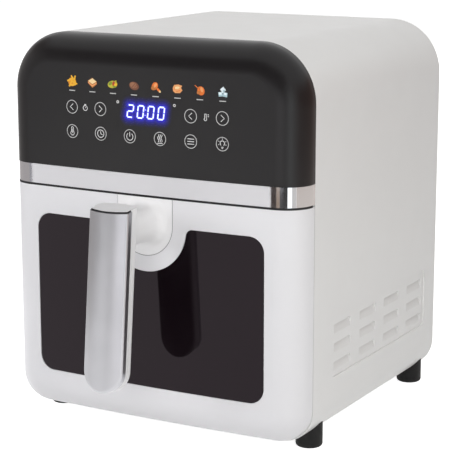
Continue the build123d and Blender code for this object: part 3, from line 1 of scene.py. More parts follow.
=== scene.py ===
import json
from math import asin, cos, exp, pi, radians, sin, sqrt

import bmesh
import bpy
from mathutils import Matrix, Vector


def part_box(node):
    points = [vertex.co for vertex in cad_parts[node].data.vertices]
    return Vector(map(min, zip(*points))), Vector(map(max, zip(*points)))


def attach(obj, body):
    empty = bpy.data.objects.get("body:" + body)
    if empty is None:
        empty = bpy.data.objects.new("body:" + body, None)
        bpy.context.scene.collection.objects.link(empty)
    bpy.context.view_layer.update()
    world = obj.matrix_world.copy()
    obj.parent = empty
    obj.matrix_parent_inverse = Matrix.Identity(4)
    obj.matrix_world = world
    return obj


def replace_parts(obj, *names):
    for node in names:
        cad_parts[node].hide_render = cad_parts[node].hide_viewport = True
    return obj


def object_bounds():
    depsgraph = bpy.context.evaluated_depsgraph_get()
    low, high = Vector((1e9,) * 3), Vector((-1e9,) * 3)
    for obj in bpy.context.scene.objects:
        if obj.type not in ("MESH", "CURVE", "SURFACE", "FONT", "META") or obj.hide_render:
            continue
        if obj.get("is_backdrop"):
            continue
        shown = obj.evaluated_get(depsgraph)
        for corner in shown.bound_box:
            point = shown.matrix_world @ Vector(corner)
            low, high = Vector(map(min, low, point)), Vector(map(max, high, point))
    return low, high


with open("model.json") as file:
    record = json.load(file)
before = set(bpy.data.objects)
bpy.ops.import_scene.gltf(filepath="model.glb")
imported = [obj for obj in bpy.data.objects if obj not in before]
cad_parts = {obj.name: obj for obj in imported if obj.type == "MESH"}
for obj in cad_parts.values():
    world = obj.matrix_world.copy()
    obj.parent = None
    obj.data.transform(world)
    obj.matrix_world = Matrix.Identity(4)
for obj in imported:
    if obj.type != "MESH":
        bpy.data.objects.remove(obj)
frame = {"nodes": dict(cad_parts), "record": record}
cadLow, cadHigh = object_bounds()
nodes = frame["nodes"]
scene = bpy.context.scene
scene.view_settings.view_transform = "Standard"
mm = 0.001
print("frame loaded:", len(nodes), "nodes")


# small tools for shader trees
def newMaterial(name):
    mat = bpy.data.materials.new(name)
    mat.use_nodes = True
    return mat, mat.node_tree, mat.node_tree.nodes["Principled BSDF"]


def addNode(tree, kind, inputs=None, **settings):
    node = tree.nodes.new(kind)
    for key, value in settings.items():
        setattr(node, key, value)
    for key, value in (inputs or {}).items():
        node.inputs[key].default_value = value
    return node


def objectCoords(tree, stretch=(1, 1, 1), turn=(0, 0, 0)):
    coords = addNode(tree, "ShaderNodeTexCoord")
    mapping = addNode(tree, "ShaderNodeMapping", {"Scale": stretch, "Rotation": turn})
    tree.links.new(coords.outputs["Object"], mapping.inputs["Vector"])
    return mapping.outputs["Vector"]


def noiseOn(tree, vector, scale, detail=3.0):
    noise = addNode(tree, "ShaderNodeTexNoise", {"Scale": scale, "Detail": detail})
    tree.links.new(vector, noise.inputs["Vector"])
    return noise.outputs["Fac"]


def rangeOf(tree, fac, low, high, fromLow=0.3, fromHigh=0.7):
    ends = {"From Min": fromLow, "From Max": fromHigh, "To Min": low, "To Max": high}
    node = addNode(tree, "ShaderNodeMapRange", ends)
    tree.links.new(fac, node.inputs["Value"])
    return node.outputs["Result"]


def blendColours(tree, fac, first, second):
    mix = addNode(tree, "ShaderNodeMix", data_type="RGBA")
    mix.inputs["A"].default_value = (*first, 1)
    mix.inputs["B"].default_value = (*second, 1)
    tree.links.new(fac, mix.inputs["Factor"])
    return mix.outputs["Result"]


def shade(colour, amount):
    return tuple(min(1.0, channel * amount) for channel in colour)


def addBump(tree, shader, height, strength, distance):
    bump = addNode(tree, "ShaderNodeBump", {"Strength": strength, "Distance": distance})
    tree.links.new(height, bump.inputs["Height"])
    tree.links.new(bump.outputs["Normal"], shader.inputs["Normal"])


def varyRoughness(tree, shader, fac, s):
    rough = rangeOf(tree, fac, s["rough"] - s["roughVary"], s["rough"] + s["roughVary"])
    tree.links.new(rough, shader.inputs["Roughness"])


def setShader(shader, values):
    for key, value in values.items():
        shader.inputs[key].default_value = value


# moulded plastic: faint mottle, spark-eroded grain, uneven gloss
mouldDrift = {"glossFiner": 3, "grainDetail": 2.0}


def mouldedPlastic(name, s):
    mat, tree, shader = newMaterial(name)
    vector = objectCoords(tree)
    mottle = rangeOf(tree, noiseOn(tree, vector, s["mottleScale"]), 0, 1)
    deep, pale = shade(s["colour"], 1 - s["mottle"]), shade(s["colour"], 1 + s["mottle"])
    tree.links.new(blendColours(tree, mottle, deep, pale), shader.inputs["Base Color"])
    gloss = noiseOn(tree, vector, s["mottleScale"] * mouldDrift["glossFiner"])
    grain = noiseOn(tree, vector, s["grainScale"], mouldDrift["grainDetail"])
    varyRoughness(tree, shader, gloss, s)
    addBump(tree, shader, grain, s["grain"], s["grainDepth"])
    setShader(shader, s.get("shader", {}))
    return mat


# a satin face on a polished strip: dull and pale in the flat middle, bright beyond its reach
def satinFace(tree, shader, polished, s):
    parts = addNode(tree, "ShaderNodeSeparateXYZ")
    away = addNode(tree, "ShaderNodeMath", operation="ABSOLUTE")
    tree.links.new(objectCoords(tree), parts.inputs["Vector"])
    tree.links.new(parts.outputs["X"], away.inputs[0])
    ends = (s["reach"], s["reach"] + s["fade"])
    tone = blendColours(tree, rangeOf(tree, away.outputs[0], 0, 1, *ends), s["colour"], polished["colour"])
    rough = rangeOf(tree, away.outputs[0], s["rough"], polished["rough"], *ends)
    tree.links.new(tone, shader.inputs["Base Color"])
    tree.links.new(rangeOf(tree, away.outputs[0], s["metal"], 1.0, *ends), shader.inputs["Metallic"])
    tree.links.new(rough, shader.inputs["Roughness"])


# rolled or drawn metal: fine lines along one axis, tone and gloss drift across them
metalDrift = {"deep": 0.9, "pale": 1.05, "lineDetail": 4.0, "rimTurn": 0.25}


def brushedMetal(name, s):
    mat, tree, shader = newMaterial(name)
    lines = noiseOn(tree, objectCoords(tree, s["stretch"]), s["lineScale"], metalDrift["lineDetail"])
    addBump(tree, shader, lines, s["grain"], s["grainDepth"])
    if "alongRim" in s:
        tangent = addNode(tree, "ShaderNodeTangent", direction_type="RADIAL", axis="Z")
        tree.links.new(tangent.outputs["Tangent"], shader.inputs["Tangent"])
        setShader(shader, {"Anisotropic": s["alongRim"], "Anisotropic Rotation": metalDrift["rimTurn"]})
    setShader(shader, {"Metallic": 1.0})
    if "satin" in s:
        satinFace(tree, shader, s, s["satin"])
        return mat
    drift = rangeOf(tree, noiseOn(tree, objectCoords(tree), s["driftScale"]), 0, 1)
    deep, pale = shade(s["colour"], metalDrift["deep"]), shade(s["colour"], metalDrift["pale"])
    tree.links.new(blendColours(tree, drift, deep, pale), shader.inputs["Base Color"])
    varyRoughness(tree, shader, lines, s)
    return mat


# sprayed non-stick coat: dark ground with pale flecks
def fleckedCoat(name, s):
    mat, tree, shader = newMaterial(name)
    vector = objectCoords(tree)
    flecks = addNode(tree, "ShaderNodeTexVoronoi", {"Scale": s["fleckScale"]})
    tree.links.new(vector, flecks.inputs["Vector"])
    specks = rangeOf(tree, flecks.outputs["Distance"], 1, 0, *s["fleckEdge"])
    tree.links.new(blendColours(tree, specks, s["colour"], s["fleck"]), shader.inputs["Base Color"])
    varyRoughness(tree, shader, noiseOn(tree, vector, s["glossScale"]), s)
    addBump(tree, shader, noiseOn(tree, vector, s["grainScale"]), s["grain"], s["grainDepth"])
    return mat


# layers or turns: bands along one axis, for stacked steel and wound wire
bandRelief = {"deep": 0.55, "bump": 0.5, "depth": 0.0003}


def bandedMetal(name, s):
    mat, tree, shader = newMaterial(name)
    waves = {"Scale": s["bandScale"], "Distortion": s["waver"]}
    bands = addNode(tree, "ShaderNodeTexWave", waves, bands_direction=s["axis"])
    tree.links.new(objectCoords(tree), bands.inputs["Vector"])
    tone = blendColours(tree, bands.outputs["Fac"], shade(s["colour"], bandRelief["deep"]), s["colour"])
    tree.links.new(tone, shader.inputs["Base Color"])
    addBump(tree, shader, bands.outputs["Fac"], bandRelief["bump"], bandRelief["depth"])
    setShader(shader, {"Metallic": s["metal"], "Roughness": s["rough"]})
    return mat


# circuit board: green mask over faint copper runs
boardRelief = {"runWidth": 0.03, "faint": 0.1, "bump": 0.2, "depth": 0.0002, "rough": 0.35}


def circuitBoard(name, s):
    mat, tree, shader = newMaterial(name)
    faint = boardRelief["faint"]
    bricks = {"Scale": s["runScale"], "Mortar Size": boardRelief["runWidth"], "Color1": (0, 0, 0, 1),
              "Color2": (faint, faint, faint, 1), "Mortar": (1, 1, 1, 1)}
    runs = addNode(tree, "ShaderNodeTexBrick", bricks, offset=0.5)
    tree.links.new(objectCoords(tree, turn=s["turn"]), runs.inputs["Vector"])
    tone = blendColours(tree, runs.outputs["Color"], s["colour"], s["copper"])
    tree.links.new(tone, shader.inputs["Base Color"])
    addBump(tree, shader, runs.outputs["Color"], boardRelief["bump"], boardRelief["depth"])
    setShader(shader, {"Roughness": boardRelief["rough"]})
    return mat


# glass with a faint film of dust that dulls it in patches
def paneGlass(name, s):
    mat, tree, shader = newMaterial(name)
    film = noiseOn(tree, objectCoords(tree), s["filmScale"])
    dusty = shade(s["colour"], 1.15)
    tree.links.new(rangeOf(tree, film, s["rough"], s["rough"] + s["film"]), shader.inputs["Roughness"])
    tone = blendColours(tree, rangeOf(tree, film, 0, 1), s["colour"], dusty)
    tree.links.new(tone, shader.inputs["Base Color"])
    setShader(shader, s.get("shader", {}))
    return mat


# printed ink: one colour with a fine grain
def printedInk(name, colour, rough=0.5):
    return mouldedPlastic(name, {
        "colour": colour, "mottle": 0.04, "mottleScale": 400, "rough": rough, "roughVary": 0.05,
        "grain": 0.1, "grainScale": 4000, "grainDepth": 0.00005})


charcoal = (0.0098, 0.0088, 0.0094)
casingWhite = mouldedPlastic("casingWhite", {
    "colour": (0.80, 0.797, 0.79), "mottle": 0.008, "mottleScale": 22, "rough": 0.42, "roughVary": 0.04,
    "grain": 0.12, "grainScale": 2600, "grainDepth": 0.00006, "shader": {"Specular IOR Level": 0.35}})
drawerWhite = mouldedPlastic("drawerWhite", {
    "colour": (0.783, 0.78, 0.8), "mottle": 0.006, "mottleScale": 18, "rough": 0.33, "roughVary": 0.03,
    "grain": 0.05, "grainScale": 2600, "grainDepth": 0.00004, "shader": {"Specular IOR Level": 0.4}})
# painted light: a lighter copy of the drawer white for the handle moulding, making up for the shade on its
# neck, base and grip side
handleLitWhite = mouldedPlastic("handleLitWhite", {
    "colour": (0.87, 0.867, 0.872), "mottle": 0.006, "mottleScale": 18, "rough": 0.33, "roughVary": 0.03,
    "grain": 0.05, "grainScale": 2600, "grainDepth": 0.00004, "shader": {"Specular IOR Level": 0.4}})
rearWhite = mouldedPlastic("rearWhite", {
    "colour": (0.72, 0.718, 0.71), "mottle": 0.01, "mottleScale": 26, "rough": 0.55, "roughVary": 0.05,
    "grain": 0.25, "grainScale": 1800, "grainDepth": 0.0001})
baseBlack = mouldedPlastic("baseBlack", {
    "colour": (0.018, 0.018, 0.019), "mottle": 0.1, "mottleScale": 40, "rough": 0.55, "roughVary": 0.06,
    "grain": 0.3, "grainScale": 1500, "grainDepth": 0.0001})
panelCharcoal = mouldedPlastic("panelCharcoal", {
    "colour": charcoal, "mottle": 0.03, "mottleScale": 30, "rough": 0.34, "roughVary": 0.02,
    "grain": 0.04, "grainScale": 3000, "grainDepth": 0.00003, "shader": {"Specular IOR Level": 0.3}})
stripChrome = brushedMetal("stripChrome", {
    "colour": (0.54, 0.535, 0.555), "stretch": (1, 1, 60), "lineScale": 40, "rough": 0.08,
    "grain": 0.003, "grainDepth": 0.00002, "alongRim": 0.5,
    "satin": {"reach": 0.1085, "fade": 0.003, "metal": 0.06, "rough": 0.4, "colour": (0.675, 0.67, 0.69)}})
coverSilver = brushedMetal("coverSilver", {
    "colour": (0.465, 0.464, 0.485), "stretch": (40, 40, 1), "lineScale": 60, "driftScale": 18,
    "rough": 0.34, "roughVary": 0.03, "grain": 0.02, "grainDepth": 0.00003})
smokedGlass = paneGlass("smokedGlass", {
    "colour": (0.003, 0.0012, 0.0022), "filmScale": 16, "rough": 0.035, "film": 0.02,
    "shader": {"IOR": 1.5, "Specular IOR Level": 0.22, "Specular Tint": (1.0, 0.84, 0.94, 1)}})
clearGlass = paneGlass("clearGlass", {
    "colour": (0.9, 0.93, 0.92), "filmScale": 20, "rough": 0.01, "film": 0.03,
    "shader": {"Transmission Weight": 1.0, "IOR": 1.5}})
rubberBlack = mouldedPlastic("rubberBlack", {
    "colour": (0.005, 0.005, 0.005), "mottle": 0.1, "mottleScale": 90, "rough": 0.7, "roughVary": 0.06,
    "grain": 0.3, "grainScale": 1200, "grainDepth": 0.0001, "shader": {"Specular IOR Level": 0.3}})
screwSteel = brushedMetal("screwSteel", {
    "colour": (0.55, 0.55, 0.56), "stretch": (1, 1, 8), "lineScale": 900, "driftScale": 120, "rough": 0.32,
    "roughVary": 0.06, "grain": 0.05, "grainDepth": 0.00005})
chamberSteel = brushedMetal("chamberSteel", {
    "colour": (0.56, 0.56, 0.55), "stretch": (1, 18, 18), "lineScale": 70, "driftScale": 9, "rough": 0.34,
    "roughVary": 0.08, "grain": 0.06, "grainDepth": 0.00008})
elementSteel = brushedMetal("elementSteel", {
    "colour": (0.22, 0.205, 0.19), "stretch": (1, 1, 1), "lineScale": 260, "driftScale": 34, "rough": 0.5,
    "roughVary": 0.1, "grain": 0.1, "grainDepth": 0.0001})
fanAluminium = brushedMetal("fanAluminium", {
    "colour": (0.68, 0.68, 0.69), "stretch": (8, 1, 1), "lineScale": 120, "driftScale": 20, "rough": 0.36,
    "roughVary": 0.07, "grain": 0.05, "grainDepth": 0.00006})
bushBronze = brushedMetal("bushBronze", {
    "colour": (0.6, 0.43, 0.2), "stretch": (1, 1, 6), "lineScale": 500, "driftScale": 60, "rough": 0.42,
    "roughVary": 0.08, "grain": 0.1, "grainDepth": 0.00008})
coreSteel = bandedMetal("coreSteel", {
    "colour": (0.24, 0.24, 0.25), "bandScale": 320, "waver": 0.2, "axis": "Z", "metal": 0.9, "rough": 0.45})
coilCopper = bandedMetal("coilCopper", {
    "colour": (0.72, 0.33, 0.16), "bandScale": 260, "waver": 0.4, "axis": "X", "metal": 1.0, "rough": 0.3})
boardGreen = circuitBoard("boardGreen", {
    "colour": (0.015, 0.13, 0.05), "copper": (0.06, 0.24, 0.09), "runScale": 60,
    "turn": (pi / 2, 0, 0)})
powerGreen = circuitBoard("powerGreen", {
    "colour": (0.015, 0.13, 0.05), "copper": (0.06, 0.24, 0.09), "runScale": 45,
    "turn": (pi / 2, 0, pi / 2)})
displayDark = paneGlass("displayDark", {
    "colour": (0.01, 0.01, 0.014), "filmScale": 30, "rough": 0.12, "film": 0.04})
basketCoat = fleckedCoat("basketCoat", {
    "colour": (0.022, 0.022, 0.023), "fleck": (0.16, 0.16, 0.16), "fleckScale": 520,
    "fleckEdge": (0.08, 0.16), "rough": 0.42, "roughVary": 0.06, "glossScale": 60,
    "grain": 0.15, "grainScale": 900, "grainDepth": 0.0001})

slotFinish = {
    "casing_white": casingWhite, "drawer_white": drawerWhite, "rear_white": rearWhite,
    "base_black": baseBlack, "panel_charcoal": panelCharcoal, "strip_chrome": stripChrome,
    "cover_silver": coverSilver, "smoked_glass": smokedGlass, "clear_glass": clearGlass,
    "rubber_black": rubberBlack, "screw_steel": screwSteel, "chamber_steel": chamberSteel,
    "element_steel": elementSteel, "fan_aluminium": fanAluminium, "core_steel": coreSteel,
    "coil_copper": coilCopper, "bush_bronze": bushBronze, "board_green": boardGreen,
    "display_dark": displayDark, "basket_coat": basketCoat,
}
for part in frame["record"]["subparts"]:
    nodes[part["node"]].data.materials.clear()
    nodes[part["node"]].data.materials.append(slotFinish[part["material_slot"]])
nodes["power_board"].data.materials[0] = powerGreen
# the handle gets the lighter copy of the drawer white, which is painted light
nodes["handle_body"].data.materials[0] = handleLitWhite
print("finishes:", len(bpy.data.materials))


# pieces drawn flat in millimetres, swept or repeated by node trees, then baked
def nodeTree(name, sockets):
    tree = bpy.data.node_groups.new(name, "GeometryNodeTree")
    tree.interface.new_socket("Geometry", in_out="INPUT", socket_type="NodeSocketGeometry")
    names = {}
    for label, kind in sockets:
        names[label] = tree.interface.new_socket(label, in_out="INPUT", socket_type=kind).identifier
    tree.interface.new_socket("Geometry", in_out="OUTPUT", socket_type="NodeSocketGeometry")
    return tree, names, tree.nodes.new("NodeGroupInput").outputs, tree.nodes.new("NodeGroupOutput").inputs


def endTree(tree, geometry, finish, target):
    whole = addNode(tree, "GeometryNodeRealizeInstances")
    coat = addNode(tree, "GeometryNodeSetMaterial")
    tree.links.new(geometry, whole.inputs["Geometry"])
    tree.links.new(whole.outputs["Geometry"], coat.inputs["Geometry"])
    tree.links.new(finish, coat.inputs["Material"])
    tree.links.new(coat.outputs["Geometry"], target["Geometry"])


sweepSockets = [("Radius", "NodeSocketFloat"), ("Sides", "NodeSocketInt"), ("Finish", "NodeSocketMaterial")]
sweepTree, sweepNames, sweepIn, sweepOut = nodeTree("sweptStroke", sweepSockets)
asCurve = addNode(sweepTree, "GeometryNodeMeshToCurve")
profile = addNode(sweepTree, "GeometryNodeCurvePrimitiveCircle")
tube = addNode(sweepTree, "GeometryNodeCurveToMesh", {"Fill Caps": True})
sweepTree.links.new(sweepIn["Geometry"], asCurve.inputs["Mesh"])
sweepTree.links.new(sweepIn["Sides"], profile.inputs["Resolution"])
sweepTree.links.new(sweepIn["Radius"], profile.inputs["Radius"])
sweepTree.links.new(asCurve.outputs["Curve"], tube.inputs["Curve"])
sweepTree.links.new(profile.outputs["Curve"], tube.inputs["Profile Curve"])
endTree(sweepTree, tube.outputs["Mesh"], sweepIn["Finish"], sweepOut)

repeatSockets = [("Template", "NodeSocketObject"), ("Turn", "NodeSocketRotation"),
                 ("Finish", "NodeSocketMaterial")]
repeatTree, repeatNames, repeatIn, repeatOut = nodeTree("repeatedPiece", repeatSockets)
template = addNode(repeatTree, "GeometryNodeObjectInfo")
spots = addNode(repeatTree, "GeometryNodeMeshToPoints")
copies = addNode(repeatTree, "GeometryNodeInstanceOnPoints")
repeatTree.links.new(repeatIn["Template"], template.inputs["Object"])
repeatTree.links.new(repeatIn["Geometry"], spots.inputs["Mesh"])
repeatTree.links.new(spots.outputs["Points"], copies.inputs["Points"])
repeatTree.links.new(template.outputs["Geometry"], copies.inputs["Instance"])
repeatTree.links.new(repeatIn["Turn"], copies.inputs["Rotation"])
endTree(repeatTree, copies.outputs["Instances"], repeatIn["Finish"], repeatOut)


def carrier(name, points, edges=(), faces=()):
    mesh = bpy.data.meshes.new(name)
    mesh.from_pydata(points, edges, faces)
    holder = bpy.data.objects.new(name, mesh)
    scene.collection.objects.link(holder)
    return holder


def bake(holder, tree, names, values):
    modifier = holder.modifiers.new("build", "NODES")
    modifier.node_group = tree
    for label, value in values.items():
        modifier[names[label]] = value
    bpy.context.view_layer.update()
    mesh = bpy.data.meshes.new_from_object(holder.evaluated_get(bpy.context.evaluated_depsgraph_get()))
    holder.modifiers.remove(modifier)
    holder.data = mesh
    for face in mesh.polygons:
        face.use_smooth = True
    return holder


def strokes(name, paths, radius, sides, finish):
    points, edges = [], []
    for path, closed in paths:
        first = len(points)
        points += path
        edges += [(first + i, first + i + 1) for i in range(len(path) - 1)]
        if closed:
            edges.append((len(points) - 1, first))
    values = {"Radius": radius, "Sides": sides, "Finish": finish}
    return bake(carrier(name, points, edges), sweepTree, sweepNames, values)


def repeated(name, shape, places, turn, finish):
    values = {"Template": shape, "Turn": turn, "Finish": finish}
    row = bake(carrier(name, places), repeatTree, repeatNames, values)
    bpy.data.objects.remove(shape)
    return row


# the front's bow, which everything printed on it follows
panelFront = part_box("control_panel")[0].y
bowRadius = 2.1462


def fallBack(x):
    return bowRadius - sqrt(bowRadius * bowRadius - x * x)


def layOnFront(piece, lift, flatten, body="housing"):
    for vertex in piece.data.vertices:
        x, y, z = vertex.co
        vertex.co = (x, panelFront + fallBack(x) - lift + y * flatten, z)
    piece.data.update()
    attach(piece, body)
    return piece


def at(x, z):
    return (x * mm, 0.0, z * mm)


def line(*places):
    return ([at(x, z) for x, z in places], False)


def arc(x, z, radius, start=0, stop=360, count=24):
    turns = [radians(start + (stop - start) * i / count) for i in range(count + (stop - start < 360))]
    return [at(x + radius * cos(a), z + radius * sin(a)) for a in turns]


# key symbols as pen strokes about the middle of a key, in millimetres
def leftMark(x, z):
    return [line((x + 1.2, z + 2.5), (x - 1.7, z), (x + 1.2, z - 2.5))]


def rightMark(x, z):
    return [line((x - 1.2, z + 2.5), (x + 1.7, z), (x - 1.2, z - 2.5))]


def dropMark(x, z):
    bulb = arc(x, z - 1.5, 1.7, -230, 50, 18)
    tip = [at(x + 0.8, z + 3.2), at(x, z + 3.7), at(x - 0.8, z + 3.2)]
    return [(bulb + tip, True), line((x, z + 2), (x, z - 1.4))]


def clockMark(x, z):
    return [(arc(x, z, 3.0), True), line((x, z + 2.1), (x, z), (x + 1.7, z - 0.8))]


def powerMark(x, z):
    return [(arc(x, z - 0.2, 2.9, -235, 55, 20), False), line((x, z + 3.3), (x, z - 0.2))]


def heatMark(x, z):
    waves = []
    for shift in (-1.5, 0, 1.5):
        waves.append(line(*[(x + shift + 0.55 * sin(i * pi / 4), z - 2.6 + i * 0.55) for i in range(12)]))
    return waves + [line((x - 2.4, z - 3.6), (x + 2.4, z - 3.6))]


def listMark(x, z):
    return [line((x - 2.9, z + rise), (x + 2.9, z + rise)) for rise in (2, 0, -2)]


def lampMark(x, z):
    rays = []
    for turn in (-20, 25, 90, 155, 200):
        c, s = cos(radians(turn)), sin(radians(turn))
        rays.append(line((x + 2.9 * c, z + 0.6 + 2.9 * s), (x + 3.7 * c, z + 0.6 + 3.7 * s)))
    bulb = (arc(x, z + 0.6, 1.9, -55, 235, 18), False)
    cap = [line((x - half, z - drop), (x + half, z - drop)) for half, drop in ((1, 2.4), (0.6, 3.4))]
    return rays + [bulb] + cap


def watchMark(x, z):
    case = (arc(x, z - 0.4, 2.0, count=18), True)
    crown = [line((x, z + 1.6), (x, z + 2.5)), line((x - 0.8, z + 2.5), (x + 0.8, z + 2.5))]
    return [case] + crown + [line((x, z - 0.4), (x + 0.9, z + 0.6))]


def gaugeMark(x, z):
    stem = arc(x, z - 1.6, 1.1, -230, 50, 14) + [at(x + 0.7, z + 2.4), at(x - 0.7, z + 2.4)]
    return [(stem, True)] + [line((x + 1.9, z + rise), (x + 3, z + rise)) for rise in (2, 0.6)]


# places in millimetres from the middle and from the floor, lift in metres
panelPlan = {
    "columns": (69.1, 41.5, 13.9), "lowRow": 249.0, "highRow": 268.7, "shift": 0.8,
    "ring": 5.25, "ringCount": 48, "ringPen": 0.29, "pen": 0.31, "penSides": 6,
    "lift": 0.00006, "flatten": 0.3,
    "watch": (-55.3, 268.9), "gauge": (55.3, 268.7), "dots": ((-24.0, 275.6), (28.0, 276.0)),
    "dot": 0.9, "dotCount": 14, "captionRow": 281.9, "captionEnds": (-1.6, 4.0), "captionPen": 0.42,
}
outer, inner, near = panelPlan["columns"]
keySpots = [(x + panelPlan["shift"], panelPlan["highRow"]) for x in (-outer, -inner, inner, outer)]
lowPlaces = (-outer, -inner, -near, near, inner, outer)
keySpots += [(x + panelPlan["shift"], panelPlan["lowRow"]) for x in lowPlaces]
keySymbols = [leftMark, rightMark, leftMark, rightMark,
              dropMark, clockMark, powerMark, heatMark, listMark, lampMark]
inkWhite = printedInk("inkWhite", (0.82, 0.82, 0.82))
inkGrey = printedInk("inkGrey", (0.6, 0.6, 0.6))


def printOnPanel(name, paths, pen, finish):
    piece = strokes(name, paths, pen * mm, panelPlan["penSides"], finish)
    return layOnFront(piece, panelPlan["lift"], panelPlan["flatten"])


ringPath = [(arc(0, 0, panelPlan["ring"], count=panelPlan["ringCount"]), True)]
ringTemplate = strokes("ringTemplate", ringPath, panelPlan["ringPen"] * mm, panelPlan["penSides"], inkGrey)
keyRings = repeated("keyRings", ringTemplate, [at(x, z) for x, z in keySpots], (0, 0, 0), inkGrey)
layOnFront(keyRings, panelPlan["lift"], panelPlan["flatten"])
marks = [stroke for (x, z), symbol in zip(keySpots, keySymbols) for stroke in symbol(x, z)]
marks += watchMark(*panelPlan["watch"]) + gaugeMark(*panelPlan["gauge"])
marks += [(arc(x, z, panelPlan["dot"], count=panelPlan["dotCount"]), True) for x, z in panelPlan["dots"]]
printOnPanel("keyMarks", marks, panelPlan["pen"], inkWhite)
print("key marks:", len(keySpots), "keys")


# food pictograms: flat shapes of printed colour, one above the other
def turned(outline, x, z, turn):
    c, s = cos(radians(turn)), sin(radians(turn))
    return [(x + u * c - v * s, z + u * s + v * c) for u, v in outline]


def disc(x, z, wideness, tallness, turn=0, count=18):
    turns = [2 * pi * i / count for i in range(count)]
    return turned([(wideness * cos(a), tallness * sin(a)) for a in turns], x, z, turn)


def bar(x, z, length, width, turn):
    u, v = length / 2, width / 2
    return turned([(-u, -v), (u, -v), (u, v), (-u, v)], x, z, turn)


foodInk = {
    "yellow": (0.85, 0.45, 0.02), "amber": (0.75, 0.27, 0.01), "cream": (0.9, 0.68, 0.35),
    "crust": (0.5, 0.16, 0.03), "leaf": (0.2, 0.3, 0.02), "lime": (0.5, 0.45, 0.03),
    "red": (0.42, 0.04, 0.01), "brown": (0.17, 0.06, 0.03), "tan": (0.32, 0.14, 0.07),
    "orange": (0.78, 0.17, 0.02), "flesh": (0.82, 0.36, 0.13), "pale": (0.78, 0.87, 0.9),
    "ice": (0.4, 0.57, 0.62),
}
foodPlan = {"shift": 1.3, "row": 289.0, "layerStep": 0.00002, "lift": 0.00005}
stickSpots = ((-1.7, 1.6, 25), (1.2, 2.1, -50), (-1.2, -1.2, 60),
              (1.8, -0.6, -20), (0.3, -2.6, 8), (2.4, 1.6, 75))
foodShapes = {  # by the place across the panel
    -69.0: [("amber", disc(0, -0.3, 3.9, 3.5))]
           + [("yellow", bar(x, z, 6.8, 1.3, turn)) for x, z, turn in stickSpots],
    -49.3: [("crust", [(-4.3, -0.2), (0, -3.9), (4.3, -0.8), (4.2, 1.2), (0, 4.0), (-4.2, 1.6)]),
            ("flesh", [(-4.0, -0.2), (0, -2.9), (4.0, -0.5), (4.0, 0.4), (0, -1.7), (-4.0, 0.9)]),
            ("cream", [(-4.0, 1.4), (0, -0.9), (4.0, 1.2), (0.2, 3.7)])],
    -29.6: [("lime", disc(-0.4, 0, 4.6, 2.9, 10)), ("leaf", disc(-2.4, 0.6, 1.9, 1.2, 35)),
            ("red", disc(0.6, 0.7, 1.2, 1.9, -15)), ("yellow", disc(2.4, -0.2, 1.7, 1.1, 30)),
            ("leaf", disc(1.4, -1.7, 1.6, 0.8, -10)), ("lime", disc(2.6, 2.4, 1.1, 0.7, 60))],
    -9.9: [("brown", disc(0, 0, 4.5, 3.2, -12)), ("tan", disc(-0.6, 0.5, 3.4, 2.2, -12)),
           ("brown", bar(-0.4, 0.4, 4.2, 0.7, 48)), ("brown", bar(1.4, -0.2, 3.2, 0.6, 48))],
    9.9: [("orange", disc(-0.7, 1.0, 2.6, 3.3, -35)), ("crust", disc(-1.9, -0.6, 2.2, 1.7, 10)),
          ("flesh", disc(-0.2, 1.6, 1.1, 2.0, -35)), ("orange", bar(2.7, -2.0, 3.4, 1.9, -42)),
          ("cream", disc(3.9, -3.1, 0.9, 0.9))],
    29.6: [("flesh", [(-4.3, 0.4), (-3.0, 2.9), (0.8, 3.5), (4.2, 2.6), (3.0, 0.9), (4.3, -0.9), (2.2, -3.1),
                      (-2.2, -3.3), (-4.0, -1.8)]),
           ("cream", disc(-0.4, 0.9, 2.4, 1.0, 8)), ("orange", bar(0.6, -1.6, 3.6, 0.6, 12)),
           ("orange", bar(-2.8, 0.2, 2.2, 0.5, 70))],
    49.3: [("orange", disc(0.9, -0.3, 3.1, 3.5, 15)), ("crust", disc(-1.2, -1.6, 1.6, 1.4, 30)),
           ("orange", bar(-2.6, 2.4, 4.6, 0.6, -38)), ("flesh", disc(1.6, 0.6, 1.1, 2.0, 20)),
           ("crust", bar(-0.9, 1.6, 2.4, 0.5, -60))],
    69.0: [("ice", bar(-1.9, -1.9, 3.6, 3.4, 8)), ("ice", bar(2.1, -2.0, 3.6, 3.4, -8)),
           ("pale", bar(0.2, 1.6, 3.7, 3.5, 40)), ("pale", bar(-2.1, -1.3, 2.3, 1.7, 8)),
           ("pale", bar(2.2, -1.4, 2.3, 1.7, -8)), ("ice", bar(0.9, 0.8, 2.0, 1.2, 40))],
}
barStart, barStop = panelPlan["captionEnds"]
captionRow = panelPlan["captionRow"]
captions = [line((x + barStart, captionRow), (x + barStop, captionRow)) for x in foodShapes]
printOnPanel("captionBars", captions, panelPlan["captionPen"], inkGrey)

foodInks = {name: printedInk(name + "Ink", colour) for name, colour in foodInk.items()}
inkOrder = list(foodInks)
foodPoints, foodFaces, foodSlots = [], [], []
for place, shapes in foodShapes.items():
    for layer, (ink, outline) in enumerate(shapes):
        first, depth = len(foodPoints), -layer * foodPlan["layerStep"]
        for u, v in outline:
            foodPoints.append(((place + foodPlan["shift"] + u) * mm, depth, (foodPlan["row"] + v) * mm))
        foodFaces.append(tuple(range(first, len(foodPoints))))
        foodSlots.append(inkOrder.index(ink))
foods = carrier("foodMarks", foodPoints, (), foodFaces)
for ink in inkOrder:
    foods.data.materials.append(foodInks[ink])
for face, slot in zip(foods.data.polygons, foodSlots):
    face.material_index = slot
foodMesh = bmesh.new()
foodMesh.from_mesh(foods.data)
bmesh.ops.triangulate(foodMesh, faces=foodMesh.faces[:])
for face in foodMesh.faces:
    face.normal_update()
    if face.normal.y > 0:
        face.normal_flip()
foodMesh.to_mesh(foods.data)
foodMesh.free()
layOnFront(foods, foodPlan["lift"], 1.0)
print("pictograms:", len(foodShapes))

